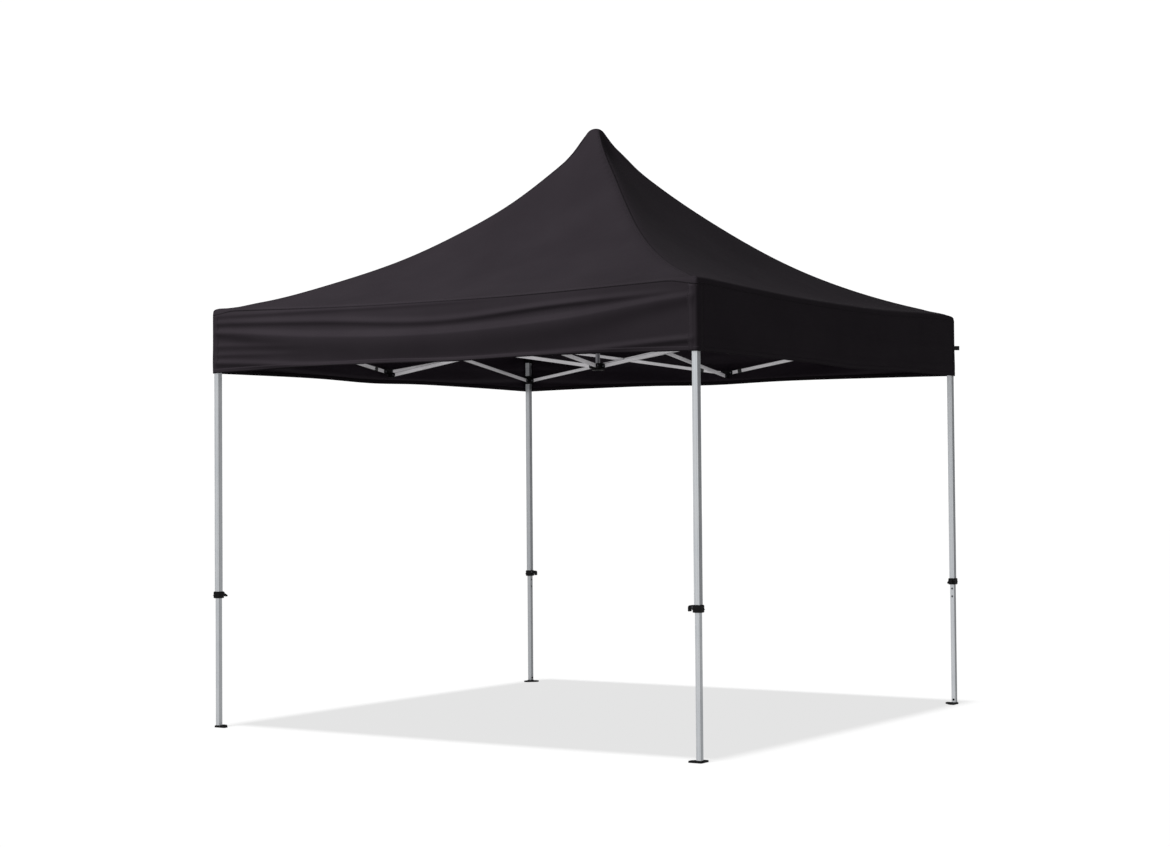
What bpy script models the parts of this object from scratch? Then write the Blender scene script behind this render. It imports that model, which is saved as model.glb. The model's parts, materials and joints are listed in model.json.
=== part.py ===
"""Folding 3 x 3 m gazebo: a scissor frame on four telescopic legs, with a fabric cover.

Metres, +Z up. The origin is on the ground under the middle of the roof, and the sides run along X and Y.
"""

from math import asin, cos, pi, radians, sqrt

import bmesh
import bpy
from mathutils import Matrix, Vector

# Driving dimensions of the frame
LEG_HALF_SPACING = 1.46
UPPER_PIVOT_Z = 2.155
LOWER_PIVOT_Z = 1.94
CENTRE_DROP = 0.02
LEG_TO_PIVOT = 0.04
CONNECTOR_TO_PIVOT = 0.03
CENTRE_TO_PIVOT = 0.035

# Legs
UPPER_TUBE_WIDTH = 0.030
UPPER_TUBE_BORE = 0.0262
UPPER_TUBE_TOP_Z = 2.175
LOWER_TUBE_WIDTH = 0.0248
LOWER_TUBE_BORE = 0.0208
CLIP_BOTTOM_Z = 0.680
CLIP_TOP_Z = 0.716
CLIP_WIDTH = 0.042
CLIP_LEDGE = 0.010
LEVER_LENGTH = 0.046
LEVER_WIDTH = 0.026
LEVER_THICKNESS = 0.007
LEVER_SLOPE = 0.42
LEVER_ROOT_DEPTH = 0.003
LEVER_ROOT_DROP = 0.001
LOWER_TUBE_TOP_Z = 0.86
FOOT_SIDE = 0.070
FOOT_CUT = 0.045
FOOT_THICKNESS = 0.005
FOOT_OVERHANG = 0.018

# Scissor bars and the brackets that hold them
BAR_HEIGHT = 0.021
BAR_THICKNESS = 0.012
BAR_PLANE = 0.009
PIN_RADIUS = 0.004
PIN_HOLE_RADIUS = 0.0046
CHEEK_THICKNESS = 0.004
CHEEK_GAP = 0.0004
CHEEK_REACH = 0.011
CHEEK_UP = 0.013
CHEEK_DOWN = 0.015
BRACKET_WIDTH = 0.039
FORK_ROOT_DEPTH = 0.002
SLIDER_RUNNING_GAP = 0.0005
BRACKET_BOTTOM_Z = 2.054
SLIDER_BOTTOM_Z = 1.918
SLIDER_TOP_Z = 1.970
CONNECTOR_WEB_WIDTH = 0.024
RIVET_HEAD_RADIUS = 0.008
RIVET_HEAD_HEIGHT = 0.0015
HUB_CORE_RADIUS = 0.021
HUB_BOSS_DROP = 0.010
MAST_RADIUS = 0.0125
MAST_GUIDE_RADIUS = 0.0145
MAST_TOP_Z = 3.211

# Cover
COVER_HALF_WIDTH = 1.484
COVER_THICKNESS = 0.004
EAVE_Z = 2.20
HEM_Z = 1.87
EAVE_SAG = 0.016
HEM_RISE = 0.014
ROOF_LINEAR_RISE = 0.213
ROOF_CURVED_RISE = 0.782
CROWN_HALF_WIDTH = 0.036
CROWN_SHOULDER_Z = 3.190
CROWN_TOP_Z = 3.233
ROOF_STATIONS = (0.0, CROWN_HALF_WIDTH, 0.10, 0.20, 0.35, 0.55, 0.80, 1.10, COVER_HALF_WIDTH)

# Clearance between pieces that touch on the real object, and how far a cutter runs past a face
SEAT = 0.0003
OVERSHOOT = 0.01

SIDES = ("front", "right", "back", "left")
CORNERS = ("front_left", "front_right", "back_right", "back_left")
QUARTER_TURN = pi / 2
SHARP_ANGLE = radians(35)

BAR_RUN = LEG_HALF_SPACING - LEG_TO_PIVOT - CONNECTOR_TO_PIVOT
BAR_RISE = UPPER_PIVOT_Z - LOWER_PIVOT_Z
BAR_LENGTH = sqrt(BAR_RUN**2 + BAR_RISE**2)
BAR_SLOPE = asin(BAR_RISE / BAR_LENGTH)
CROSSING_Z = (UPPER_PIVOT_Z + LOWER_PIVOT_Z) / 2
CONNECTOR_TO_CENTRE_PIVOT = LEG_HALF_SPACING - BAR_RUN - CENTRE_TO_PIVOT


def clear_scene():
    for obj in list(bpy.data.objects):
        bpy.data.objects.remove(obj, do_unlink=True)


def new_collection(name):
    collection = bpy.data.collections.new(name)
    bpy.context.scene.collection.children.link(collection)
    return collection


def material(name, colour, roughness, metallic=0.0):
    made = bpy.data.materials.new(name)
    made.use_nodes = True
    shader = made.node_tree.nodes["Principled BSDF"]
    shader.inputs["Base Color"].default_value = (*colour, 1.0)
    shader.inputs["Roughness"].default_value = roughness
    shader.inputs["Metallic"].default_value = metallic
    return made


def box(low, high):
    """A box mesh between two corners."""
    bm = bmesh.new()
    bmesh.ops.create_cube(bm, size=1.0)
    size = [b - a for a, b in zip(low, high)]
    middle = [(a + b) / 2 for a, b in zip(low, high)]
    bmesh.ops.scale(bm, vec=size, verts=bm.verts)
    bmesh.ops.translate(bm, vec=middle, verts=bm.verts)
    return bm


def round_bar(radius, start, end, sides=12):
    """A cylinder mesh from one point to another."""
    start = Vector(start)
    end = Vector(end)
    bm = bmesh.new()
    bmesh.ops.create_cone(
        bm, cap_ends=True, segments=sides, radius1=radius, radius2=radius, depth=(end - start).length
    )
    turn = Vector((0, 0, 1)).rotation_difference(end - start).to_matrix().to_4x4()
    bmesh.ops.transform(bm, matrix=Matrix.Translation((start + end) / 2) @ turn, verts=bm.verts)
    return bm


def square_bar(width, low_z, high_z):
    half = width / 2
    return box((-half, -half, low_z), (half, half, high_z))


def mesh_of(bm, name):
    mesh = bpy.data.meshes.new(name)
    bm.to_mesh(mesh)
    bm.free()
    return mesh


def carved(name, added, removed=()):
    """One mesh: the union of the first shapes, less the others."""
    base = bpy.data.objects.new(name, mesh_of(added[0], name))
    cutters.objects.link(base)
    helpers = [base]
    steps = [("UNION", shape) for shape in added[1:]] + [("DIFFERENCE", shape) for shape in removed]
    for number, (operation, shape) in enumerate(steps):
        helper = bpy.data.objects.new(f"{name}_tool_{number}", mesh_of(shape, name))
        cutters.objects.link(helper)
        helpers.append(helper)
        step = base.modifiers.new(f"step_{number}", "BOOLEAN")
        step.operation = operation
        step.object = helper
    bpy.context.view_layer.update()
    graph = bpy.context.evaluated_depsgraph_get()
    mesh = bpy.data.meshes.new_from_object(base.evaluated_get(graph))
    mesh.name = name
    for helper in helpers:
        bpy.data.objects.remove(helper, do_unlink=True)
    return mesh


def place(name, shape, finish, position=(0, 0, 0), turn=0.0, parent=None, tilt=0.0):
    """A named object; tilt turns it about its own Y axis before turn turns it about Z."""
    if not shape.materials:
        shape.materials.append(finish)
    if isinstance(shape, bpy.types.Mesh):
        shape.shade_smooth()
        shape.set_sharp_from_angle(angle=SHARP_ANGLE)
    obj = bpy.data.objects.new(name, shape)
    gazebo.objects.link(obj)
    obj.parent = parent
    obj.location = position
    obj.rotation_euler = (0.0, tilt, turn)
    return obj


def side_frame(index):
    """An empty whose -Y axis points out through one side of the gazebo."""
    frame = bpy.data.objects.new(f"{SIDES[index]}_side", None)
    gazebo.objects.link(frame)
    frame.rotation_euler = (0.0, 0.0, index * QUARTER_TURN)
    return frame


def pivot_on(frame, name, position):
    """An empty on a joint's axis, for the pieces that turn about it."""
    pivot = bpy.data.objects.new(name, None)
    gazebo.objects.link(pivot)
    pivot.parent = frame
    pivot.location = position
    return pivot


def seen_from(pivot, position):
    """A place in the side's frame, as the pivot's own children have it."""
    return Vector(position) - pivot.location


def fork(pivot, plane, height, root):
    """Two cheeks and a pin that hold a bar's end. The bar lies along X, and its middle plane is at Y = plane.

    The cheeks run along X from root to just past the pivot.
    """
    near = plane - BAR_THICKNESS / 2 - CHEEK_GAP
    far = plane + BAR_THICKNESS / 2 + CHEEK_GAP
    reach = pivot + CHEEK_REACH * (1 if pivot > root else -1)
    low_x, high_x = sorted((root, reach))
    low_z = height - CHEEK_DOWN
    high_z = height + CHEEK_UP
    return [
        box((low_x, near - CHEEK_THICKNESS, low_z), (high_x, near, high_z)),
        box((low_x, far, low_z), (high_x, far + CHEEK_THICKNESS, high_z)),
        round_bar(
            PIN_RADIUS,
            (pivot, near - CHEEK_THICKNESS / 2, height),
            (pivot, far + CHEEK_THICKNESS / 2, height),
        ),
    ]


def turned(shapes, angle):
    for bm in shapes:
        bmesh.ops.rotate(bm, cent=(0, 0, 0), matrix=Matrix.Rotation(angle, 3, "Z"), verts=bm.verts)
    return shapes


def mirrored_diagonally(shapes):
    """The same shapes with X and Y exchanged."""
    swap = Matrix(((0, 1, 0, 0), (1, 0, 0, 0), (0, 0, 1, 0), (0, 0, 0, 1)))
    for bm in shapes:
        bmesh.ops.transform(bm, matrix=swap, verts=bm.verts)
        bmesh.ops.reverse_faces(bm, faces=bm.faces)
    return shapes


def bar_mesh():
    """A flat bar with round ends and three pin holes, on edge: it runs along +X from its first pivot."""
    end_sides = 12
    radius = BAR_HEIGHT / 2 / cos(pi / end_sides)
    bm = bmesh.new()
    bmesh.ops.create_circle(bm, cap_ends=True, segments=end_sides, radius=radius)
    half_step = Matrix.Rotation(pi / end_sides, 3, "Z")
    bmesh.ops.rotate(bm, cent=(0, 0, 0), matrix=half_step, verts=bm.verts)
    far_end = [vert for vert in bm.verts if vert.co.x > 0]
    bmesh.ops.translate(bm, vec=(BAR_LENGTH, 0, 0), verts=far_end)
    raised = bmesh.ops.extrude_face_region(bm, geom=bm.faces[:])["geom"]
    raised = [item for item in raised if isinstance(item, bmesh.types.BMVert)]
    bmesh.ops.translate(bm, vec=(0, 0, BAR_THICKNESS), verts=raised)
    bmesh.ops.translate(bm, vec=(0, 0, -BAR_THICKNESS / 2), verts=bm.verts)
    bmesh.ops.rotate(bm, cent=(0, 0, 0), matrix=Matrix.Rotation(pi / 2, 3, "X"), verts=bm.verts)
    bmesh.ops.recalc_face_normals(bm, faces=bm.faces)
    holes = [
        round_bar(PIN_HOLE_RADIUS, (x, -BAR_THICKNESS, 0), (x, BAR_THICKNESS, 0), sides=10)
        for x in (0.0, BAR_LENGTH / 2, BAR_LENGTH)
    ]
    return carved("scissor_bar", [bm], holes)


def riveted_bar_mesh(plain_bar):
    """The bar with the rivet and spacer of its crossing, which pass through its partner on the +Y side."""
    middle = BAR_LENGTH / 2
    own_face = BAR_THICKNESS / 2
    partner_near = 2 * BAR_PLANE - BAR_THICKNESS / 2 - CHEEK_GAP
    partner_far = 2 * BAR_PLANE + BAR_THICKNESS / 2 + CHEEK_GAP
    bar = bmesh.new()
    bar.from_mesh(plain_bar)
    spacer = round_bar(RIVET_HEAD_RADIUS, (middle, -own_face - RIVET_HEAD_HEIGHT, 0), (middle, partner_near, 0))
    shank = round_bar(PIN_RADIUS, (middle, 0, 0), (middle, partner_far + RIVET_HEAD_HEIGHT / 2, 0))
    head = round_bar(RIVET_HEAD_RADIUS, (middle, partner_far, 0), (middle, partner_far + RIVET_HEAD_HEIGHT, 0))
    return carved("riveted_bar", [bar, spacer, shank, head])


def from_crossing(bar):
    """A copy of a bar's mesh whose origin is on the pivot in its middle."""
    moved = bar.copy()
    moved.transform(Matrix.Translation((-BAR_LENGTH / 2, 0, 0)))
    return moved


def make_upper_leg():
    return carved(
        "upper_leg",
        [square_bar(UPPER_TUBE_WIDTH, CLIP_BOTTOM_Z + CLIP_LEDGE + SEAT, UPPER_TUBE_TOP_Z)],
        [square_bar(UPPER_TUBE_BORE, CLIP_BOTTOM_Z, EAVE_Z)],
    )


def make_lower_leg():
    """The inner tube and its foot plate, which reaches inwards along both sides."""
    outer = -FOOT_OVERHANG
    inner = outer + FOOT_SIDE
    plate = box((outer, outer, 0.0), (inner, inner, FOOT_THICKNESS))
    cut = bmesh.new()
    bmesh.ops.create_cube(cut, size=1.0)
    cut_depth = FOOT_CUT * sqrt(2)
    bmesh.ops.scale(cut, vec=(cut_depth, cut_depth * 2, FOOT_THICKNESS * 4), verts=cut.verts)
    bmesh.ops.rotate(cut, cent=(0, 0, 0), matrix=Matrix.Rotation(pi / 4, 3, "Z"), verts=cut.verts)
    bmesh.ops.translate(cut, vec=(inner, inner, 0.0), verts=cut.verts)
    return carved(
        "lower_leg",
        [square_bar(LOWER_TUBE_WIDTH, FOOT_THICKNESS / 2, LOWER_TUBE_TOP_Z), plate],
        [cut, square_bar(LOWER_TUBE_BORE, FOOT_THICKNESS, LOWER_TUBE_TOP_Z + OVERSHOOT)],
    )


def make_clip():
    """The collar at the upper tube's end and its lever, which points along +Y."""
    lever = box((-LEVER_WIDTH / 2, 0.0, -LEVER_THICKNESS), (LEVER_WIDTH / 2, LEVER_LENGTH, 0.0))
    bmesh.ops.rotate(
        lever, cent=(0, 0, 0), matrix=Matrix.Rotation(-LEVER_SLOPE, 3, "X"), verts=lever.verts
    )
    root = (0.0, CLIP_WIDTH / 2 - LEVER_ROOT_DEPTH, CLIP_TOP_Z - LEVER_ROOT_DROP)
    bmesh.ops.translate(lever, vec=root, verts=lever.verts)
    return carved(
        "clip",
        [square_bar(CLIP_WIDTH, CLIP_BOTTOM_Z, CLIP_TOP_Z), lever],
        [
            square_bar(
                UPPER_TUBE_WIDTH + 2 * SEAT, CLIP_BOTTOM_Z + CLIP_LEDGE, CLIP_TOP_Z + OVERSHOOT
            ),
            square_bar(LOWER_TUBE_WIDTH + 2 * SEAT, CLIP_BOTTOM_Z - OVERSHOOT, CLIP_TOP_Z),
        ],
    )


def leg_forks(plane, height):
    """Forks along +X and +Y for the bars of the two sides that meet at a leg."""
    root = BRACKET_WIDTH / 2 - FORK_ROOT_DEPTH
    along_x = fork(LEG_TO_PIVOT, plane, height, root)
    along_y = mirrored_diagonally(fork(LEG_TO_PIVOT, plane, height, root))
    return along_x + along_y


def make_top_bracket():
    cover_underside = EAVE_Z - COVER_THICKNESS - 2 * SEAT
    return carved(
        "top_bracket",
        [square_bar(BRACKET_WIDTH, BRACKET_BOTTOM_Z, cover_underside)]
        + leg_forks(-BAR_PLANE, UPPER_PIVOT_Z),
        [
            square_bar(
                UPPER_TUBE_WIDTH + 2 * SEAT, BRACKET_BOTTOM_Z - OVERSHOOT, UPPER_TUBE_TOP_Z + SEAT
            )
        ],
    )


def make_slider():
    bore = UPPER_TUBE_WIDTH + 2 * SLIDER_RUNNING_GAP
    return carved(
        "slider",
        [square_bar(BRACKET_WIDTH, SLIDER_BOTTOM_Z, SLIDER_TOP_Z)]
        + leg_forks(BAR_PLANE, LOWER_PIVOT_Z),
        [square_bar(bore, SLIDER_BOTTOM_Z - OVERSHOOT, SLIDER_TOP_Z + OVERSHOOT)],
    )


def make_connector(name, plane):
    """The T-shaped piece at the middle of a side, with its pivots at Z = 0.

    It holds two side bars along X and one bar to the centre along +Y, which is lower by the centre drop.
    """
    half = BAR_THICKNESS / 2 + CHEEK_GAP
    near = plane - half - CHEEK_THICKNESS
    far = plane + half + CHEEK_THICKNESS
    web_half = CONNECTOR_WEB_WIDTH / 2
    web = box((-web_half, near, -CHEEK_DOWN), (web_half, far, CHEEK_UP))
    right = fork(CONNECTOR_TO_PIVOT, plane, 0.0, 0.0)
    left = fork(-CONNECTOR_TO_PIVOT, plane, 0.0, 0.0)
    inward = mirrored_diagonally(
        fork(CONNECTOR_TO_CENTRE_PIVOT, plane, -CENTRE_DROP, far - CHEEK_THICKNESS)
    )
    return carved(name, [web] + right + left + inward)


def make_hub(name, plane, with_guide):
    """A hub with four forks. The mast stands in the lower hub and slides through the upper one."""
    root = HUB_CORE_RADIUS / 2
    shapes = [round_bar(HUB_CORE_RADIUS, (0, 0, -CHEEK_DOWN), (0, 0, CHEEK_UP), sides=16)]
    hole_top = (0, 0, CHEEK_UP + OVERSHOOT)
    for quarter in range(4):
        arm = fork(CENTRE_TO_PIVOT, plane, 0.0, root)
        shapes += turned(arm, (quarter - 1) * QUARTER_TURN)
    if with_guide:
        hole = round_bar(MAST_GUIDE_RADIUS, (0, 0, -CHEEK_DOWN - OVERSHOOT), hole_top, sides=16)
    else:
        boss = round_bar(HUB_CORE_RADIUS, (0, 0, -CHEEK_DOWN - HUB_BOSS_DROP), (0, 0, 0), sides=16)
        shapes.append(boss)
        hole = round_bar(MAST_RADIUS + SEAT, (0, 0, -CHEEK_DOWN), hole_top, sides=16)
    return carved(name, shapes, [hole])


def roof_height(x, y):
    """Height of the roof's outer surface: concave towards the eaves, with a small crown."""
    reach = max(abs(x), abs(y))
    across = min(abs(x), abs(y))
    inward = 1 - reach / COVER_HALF_WIDTH
    height = EAVE_Z + ROOF_LINEAR_RISE * inward + ROOF_CURVED_RISE * inward**2
    if reach < CROWN_HALF_WIDTH * 0.99:
        height = CROWN_TOP_Z
    elif reach < CROWN_HALF_WIDTH * 1.01:
        height = CROWN_SHOULDER_Z
    spread = reach / COVER_HALF_WIDTH
    sag = EAVE_SAG * spread**3 * (1 - (across / max(reach, 0.001)) ** 2)
    return height - sag


def make_roof():
    """A square sheet with its grid lines drawn in towards the crown, then lifted and given its thickness."""
    steps = len(ROOF_STATIONS) - 1
    bm = bmesh.new()
    bmesh.ops.create_grid(bm, x_segments=2 * steps, y_segments=2 * steps, size=steps)
    for face in list(bm.faces):
        middle = face.calc_center_median()
        if abs(abs(middle.x) - abs(middle.y)) > 0.1:
            continue
        by_reach = sorted(face.verts, key=lambda vert: abs(vert.co.x) + abs(vert.co.y))
        bmesh.ops.connect_verts(bm, verts=[by_reach[0], by_reach[-1]])
    for vert in bm.verts:
        x, y = (
            ROOF_STATIONS[round(abs(value))] * (1 if value > 0 else -1) for value in vert.co.xy
        )
        vert.co = (x, y, roof_height(x, y))
    bmesh.ops.recalc_face_normals(bm, faces=bm.faces)
    return mesh_of(bm, "roof")


def make_valance(half_length):
    """A hanging strip along X with its outer face at the cover's half width, seen from outside."""
    curve = bpy.data.curves.new("valance", "CURVE")
    curve.dimensions = "2D"
    curve.fill_mode = "BOTH"
    curve.extrude = COVER_THICKNESS / 2
    steps = 12
    along = [half_length * (2 * step / steps - 1) for step in range(steps + 1)]
    hem = [(x, HEM_Z + HEM_RISE * (1 - (x / half_length) ** 2)) for x in along]
    top = EAVE_Z - COVER_THICKNESS - 2 * SEAT
    eave = [(x, top - EAVE_SAG * (1 - (x / COVER_HALF_WIDTH) ** 2)) for x in reversed(along)]
    spline = curve.splines.new("POLY")
    points = hem + eave
    spline.points.add(len(points) - 1)
    spline.use_cyclic_u = True
    for point, (x, y) in zip(spline.points, points):
        point.co = (x, y, 0.0, 1.0)
    return curve


def build_leg(index, frame, shapes):
    """One corner: the upper leg hangs on the end of a rising bar, and the slider on that of a falling one."""
    corner = CORNERS[index]
    leg_axis = (-LEG_HALF_SPACING, -LEG_HALF_SPACING, 0.0)
    pivot_x = -LEG_HALF_SPACING + LEG_TO_PIVOT
    leg_pivot = pivot_on(
        frame, f"leg_{corner}_pivot", (pivot_x, -LEG_HALF_SPACING - BAR_PLANE, UPPER_PIVOT_Z)
    )
    slider_pivot = pivot_on(
        frame, f"slider_{corner}_pivot", (pivot_x, -LEG_HALF_SPACING + BAR_PLANE, LOWER_PIVOT_Z)
    )
    pieces = (
        ("upper_leg", "aluminium", leg_pivot),
        ("clip", "plastic", leg_pivot),
        ("top_bracket", "plastic", leg_pivot),
        ("lower_leg", "aluminium", leg_pivot),
        ("slider", "plastic", slider_pivot),
    )
    for piece, finish, pivot in pieces:
        at = seen_from(pivot, leg_axis)
        place(f"{piece}_{corner}", shapes[piece], finishes[finish], at, parent=pivot)


def build_side_scissors(index, frame, shapes):
    """Two crossed pairs of bars between the connectors in the middle of a side and its two legs."""
    side = SIDES[index]
    outer_plane = -LEG_HALF_SPACING - BAR_PLANE
    inner_plane = -LEG_HALF_SPACING + BAR_PLANE
    # A rivet points to its bar's own left, so the pair that is turned end for end has it on the other bar.
    pairs = (
        (1, -1, pi, shapes["bar"], shapes["riveted_bar_from_crossing"]),
        (2, 1, 0.0, shapes["riveted_bar"], shapes["bar_from_crossing"]),
    )
    for number, direction, turn, rising_shape, falling_shape in pairs:
        start = direction * CONNECTOR_TO_PIVOT
        middle = direction * (CONNECTOR_TO_PIVOT + BAR_RUN / 2)
        place(
            f"{side}_bar_{number}_rising",
            rising_shape,
            finishes["aluminium"],
            (start, outer_plane, LOWER_PIVOT_Z),
            turn=turn,
            parent=frame,
            tilt=-BAR_SLOPE,
        )
        place(
            f"{side}_bar_{number}_falling",
            falling_shape,
            finishes["aluminium"],
            (middle, inner_plane, CROSSING_Z),
            turn=turn,
            parent=frame,
            tilt=BAR_SLOPE,
        )


def build_centre_scissors(index, frame, shapes):
    """One crossed pair of bars from the hubs to the connectors in the middle of a side."""
    side = SIDES[index]
    place(
        f"{side}_centre_bar_falling",
        shapes["riveted_bar"],
        finishes["aluminium"],
        (-BAR_PLANE, -CENTRE_TO_PIVOT, UPPER_PIVOT_Z - CENTRE_DROP),
        turn=-QUARTER_TURN,
        parent=frame,
        tilt=BAR_SLOPE,
    )
    place(
        f"{side}_centre_bar_rising",
        shapes["bar_from_crossing"],
        finishes["aluminium"],
        (BAR_PLANE, -CENTRE_TO_PIVOT - BAR_RUN / 2, CROSSING_Z - CENTRE_DROP),
        turn=-QUARTER_TURN,
        parent=frame,
        tilt=-BAR_SLOPE,
    )
    connectors = (
        ("upper_connector", BAR_PLANE, UPPER_PIVOT_Z),
        ("lower_connector", -BAR_PLANE, LOWER_PIVOT_Z),
    )
    for piece, bar_x, height in connectors:
        bar_end = (bar_x, CONNECTOR_TO_CENTRE_PIVOT - LEG_HALF_SPACING, height - CENTRE_DROP)
        pivot = pivot_on(frame, f"{side}_{piece}_pivot", bar_end)
        at = seen_from(pivot, (0.0, -LEG_HALF_SPACING, height))
        place(f"{side}_{piece}", shapes[piece], finishes["plastic"], at, parent=pivot)


def build_centre(front, shapes):
    """The two hubs on the middle axis, and the mast that carries the roof's crown."""
    place("upper_hub", shapes["upper_hub"], finishes["plastic"], (0, 0, UPPER_PIVOT_Z - CENTRE_DROP))
    lower_z = LOWER_PIVOT_Z - CENTRE_DROP
    pivot = pivot_on(front, "lower_hub_pivot", (BAR_PLANE, -CENTRE_TO_PIVOT, lower_z))
    centre = seen_from(pivot, (0, 0, lower_z))
    place("lower_hub", shapes["lower_hub"], finishes["plastic"], centre, parent=pivot)
    foot = -CHEEK_DOWN + SEAT
    tube = round_bar(MAST_RADIUS, (0, 0, foot), (0, 0, MAST_TOP_Z - lower_z), sides=16)
    place("mast", mesh_of(tube, "mast"), finishes["mast"], centre, parent=pivot)


def build_cover(frames):
    roof = place("roof", make_roof(), finishes["fabric"])
    wall = roof.modifiers.new("thickness", "SOLIDIFY")
    wall.thickness = COVER_THICKNESS
    wall.offset = -1.0
    wall.use_even_offset = True
    for index, frame in enumerate(frames):
        corner_gap = 0.0 if index % 2 == 0 else COVER_THICKNESS + SEAT
        strip = place(
            f"{SIDES[index]}_valance",
            make_valance(COVER_HALF_WIDTH - corner_gap),
            finishes["fabric"],
            (0.0, -COVER_HALF_WIDTH + COVER_THICKNESS / 2, 0.0),
            parent=frame,
        )
        strip.rotation_euler = (pi / 2, 0.0, 0.0)


clear_scene()
gazebo = new_collection("gazebo")
cutters = new_collection("cutters")
finishes = {
    "aluminium": material("aluminium", (0.62, 0.63, 0.66), 0.4, 1.0),
    "plastic": material("black_nylon", (0.015, 0.015, 0.017), 0.5),
    "mast": material("grey_tube", (0.12, 0.12, 0.125), 0.45, 1.0),
    "fabric": material("black_polyester", (0.022, 0.018, 0.022), 0.8),
}
plain_bar = bar_mesh()
riveted_bar = riveted_bar_mesh(plain_bar)
shapes = {
    "bar": plain_bar,
    "riveted_bar": riveted_bar,
    "bar_from_crossing": from_crossing(plain_bar),
    "riveted_bar_from_crossing": from_crossing(riveted_bar),
    "upper_leg": make_upper_leg(),
    "lower_leg": make_lower_leg(),
    "clip": make_clip(),
    "top_bracket": make_top_bracket(),
    "slider": make_slider(),
    "upper_connector": make_connector("upper_connector", BAR_PLANE),
    "lower_connector": make_connector("lower_connector", -BAR_PLANE),
    "upper_hub": make_hub("upper_hub", -BAR_PLANE, with_guide=True),
    "lower_hub": make_hub("lower_hub", BAR_PLANE, with_guide=False),
}
side_frames = [side_frame(index) for index in range(len(SIDES))]
for side_index, side in enumerate(side_frames):
    build_leg(side_index, side, shapes)
    build_side_scissors(side_index, side, shapes)
    build_centre_scissors(side_index, side, shapes)
build_centre(side_frames[0], shapes)
build_cover(side_frames)
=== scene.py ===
"""Looks of the folding gazebo: cover, legs, scissor frame and studio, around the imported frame."""

import json
from math import asin, atan2, cos, exp, pi, radians, sin, sqrt

import bmesh
import bpy
from bpy.props import FloatProperty, FloatVectorProperty, PointerProperty
from mathutils import Matrix, Vector
from mathutils.bvhtree import BVHTree

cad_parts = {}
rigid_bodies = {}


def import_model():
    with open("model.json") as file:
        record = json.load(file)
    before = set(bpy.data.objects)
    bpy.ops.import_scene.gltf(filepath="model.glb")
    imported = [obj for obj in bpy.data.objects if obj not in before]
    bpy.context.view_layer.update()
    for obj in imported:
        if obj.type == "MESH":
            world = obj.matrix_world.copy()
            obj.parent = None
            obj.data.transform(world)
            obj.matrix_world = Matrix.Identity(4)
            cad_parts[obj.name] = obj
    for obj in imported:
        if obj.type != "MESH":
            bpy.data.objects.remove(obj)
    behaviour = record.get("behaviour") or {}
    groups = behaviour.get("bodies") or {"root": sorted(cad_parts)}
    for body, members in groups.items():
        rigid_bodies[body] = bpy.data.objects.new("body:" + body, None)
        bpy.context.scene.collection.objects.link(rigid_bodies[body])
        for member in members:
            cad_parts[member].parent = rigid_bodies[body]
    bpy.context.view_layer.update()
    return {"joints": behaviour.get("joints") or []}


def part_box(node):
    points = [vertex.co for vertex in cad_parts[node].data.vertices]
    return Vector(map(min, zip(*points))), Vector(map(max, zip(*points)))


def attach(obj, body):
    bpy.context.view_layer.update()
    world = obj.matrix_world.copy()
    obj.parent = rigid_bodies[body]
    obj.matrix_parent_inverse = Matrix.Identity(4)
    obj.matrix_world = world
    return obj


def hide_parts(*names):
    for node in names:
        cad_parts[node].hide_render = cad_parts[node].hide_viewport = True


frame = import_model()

bl_info = {
    "name": "Folding gazebo",
    "version": (1, 0, 0),
    "blender": (4, 5, 0),
    "location": "View3D > Sidebar > Gazebo",
    "description": "Models the cover, legs and scissor frame of a 3 x 3 m folding gazebo",
    "category": "Add Mesh",
}

SIDES = ("front", "right", "back", "left")
CORNERS = ("front_left", "front_right", "back_right", "back_left")
QUARTER_TURN = pi / 2


def joint_place(name):
    """Where a joint's axis lies at rest."""
    return Vector(next(joint["pos_m"] for joint in frame["joints"] if joint["name"] == name))


# Heights and distances of the frame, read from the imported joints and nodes
LEG_AXIS = sum(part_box("upper_leg_front_right"), Vector()).x / 2
UPPER_PIVOT = joint_place("leg_front_left_pivot")
LOWER_PIVOT = joint_place("front_bar_1_pivot")
UPPER_PIVOT_Z = UPPER_PIVOT.z
LOWER_PIVOT_Z = LOWER_PIVOT.z
BAR_PLANE = -LEG_AXIS - UPPER_PIVOT.y
LEG_TO_PIVOT = UPPER_PIVOT.x + LEG_AXIS
CONNECTOR_TO_PIVOT = -LOWER_PIVOT.x
CENTRE_TO_PIVOT = -joint_place("fold").y
CENTRE_DROP = UPPER_PIVOT_Z - joint_place("fold").z
BAR_RUN = LOWER_PIVOT.x - UPPER_PIVOT.x
BAR_RISE = UPPER_PIVOT_Z - LOWER_PIVOT_Z
BAR_LENGTH = sqrt(BAR_RUN**2 + BAR_RISE**2)
BAR_SLOPE = asin(BAR_RISE / BAR_LENGTH)
CONNECTOR_TO_CENTRE_PIVOT = joint_place("front_lower_connector_pivot").y + LEG_AXIS

# Cover
COVER_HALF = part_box("roof")[1].x
CROWN_TOP_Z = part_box("roof")[1].z
HEM_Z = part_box("front_valance")[0].z
EAVE_Z = 2.20
EAVE_SAG = 0.016
# How far the middle of each hem is drawn up, and a dip beside it; the right one hangs slack
HEM_RISES = {"front": 0.014, "right": -0.004, "back": 0.010, "left": 0.008}
HEM_DIP = 0.011
HEM_DIP_PLACE = 0.08
HEM_DIP_SPREAD = 0.22
ROOF_LINEAR_RISE = 0.213
ROOF_CURVED_RISE = 0.782
VALANCE_ROWS = 42
CORNER_RADIUS = 0.018
CORNER_PATCH_WIDTH = 0.100
HEM_ROWS = 3

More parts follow.
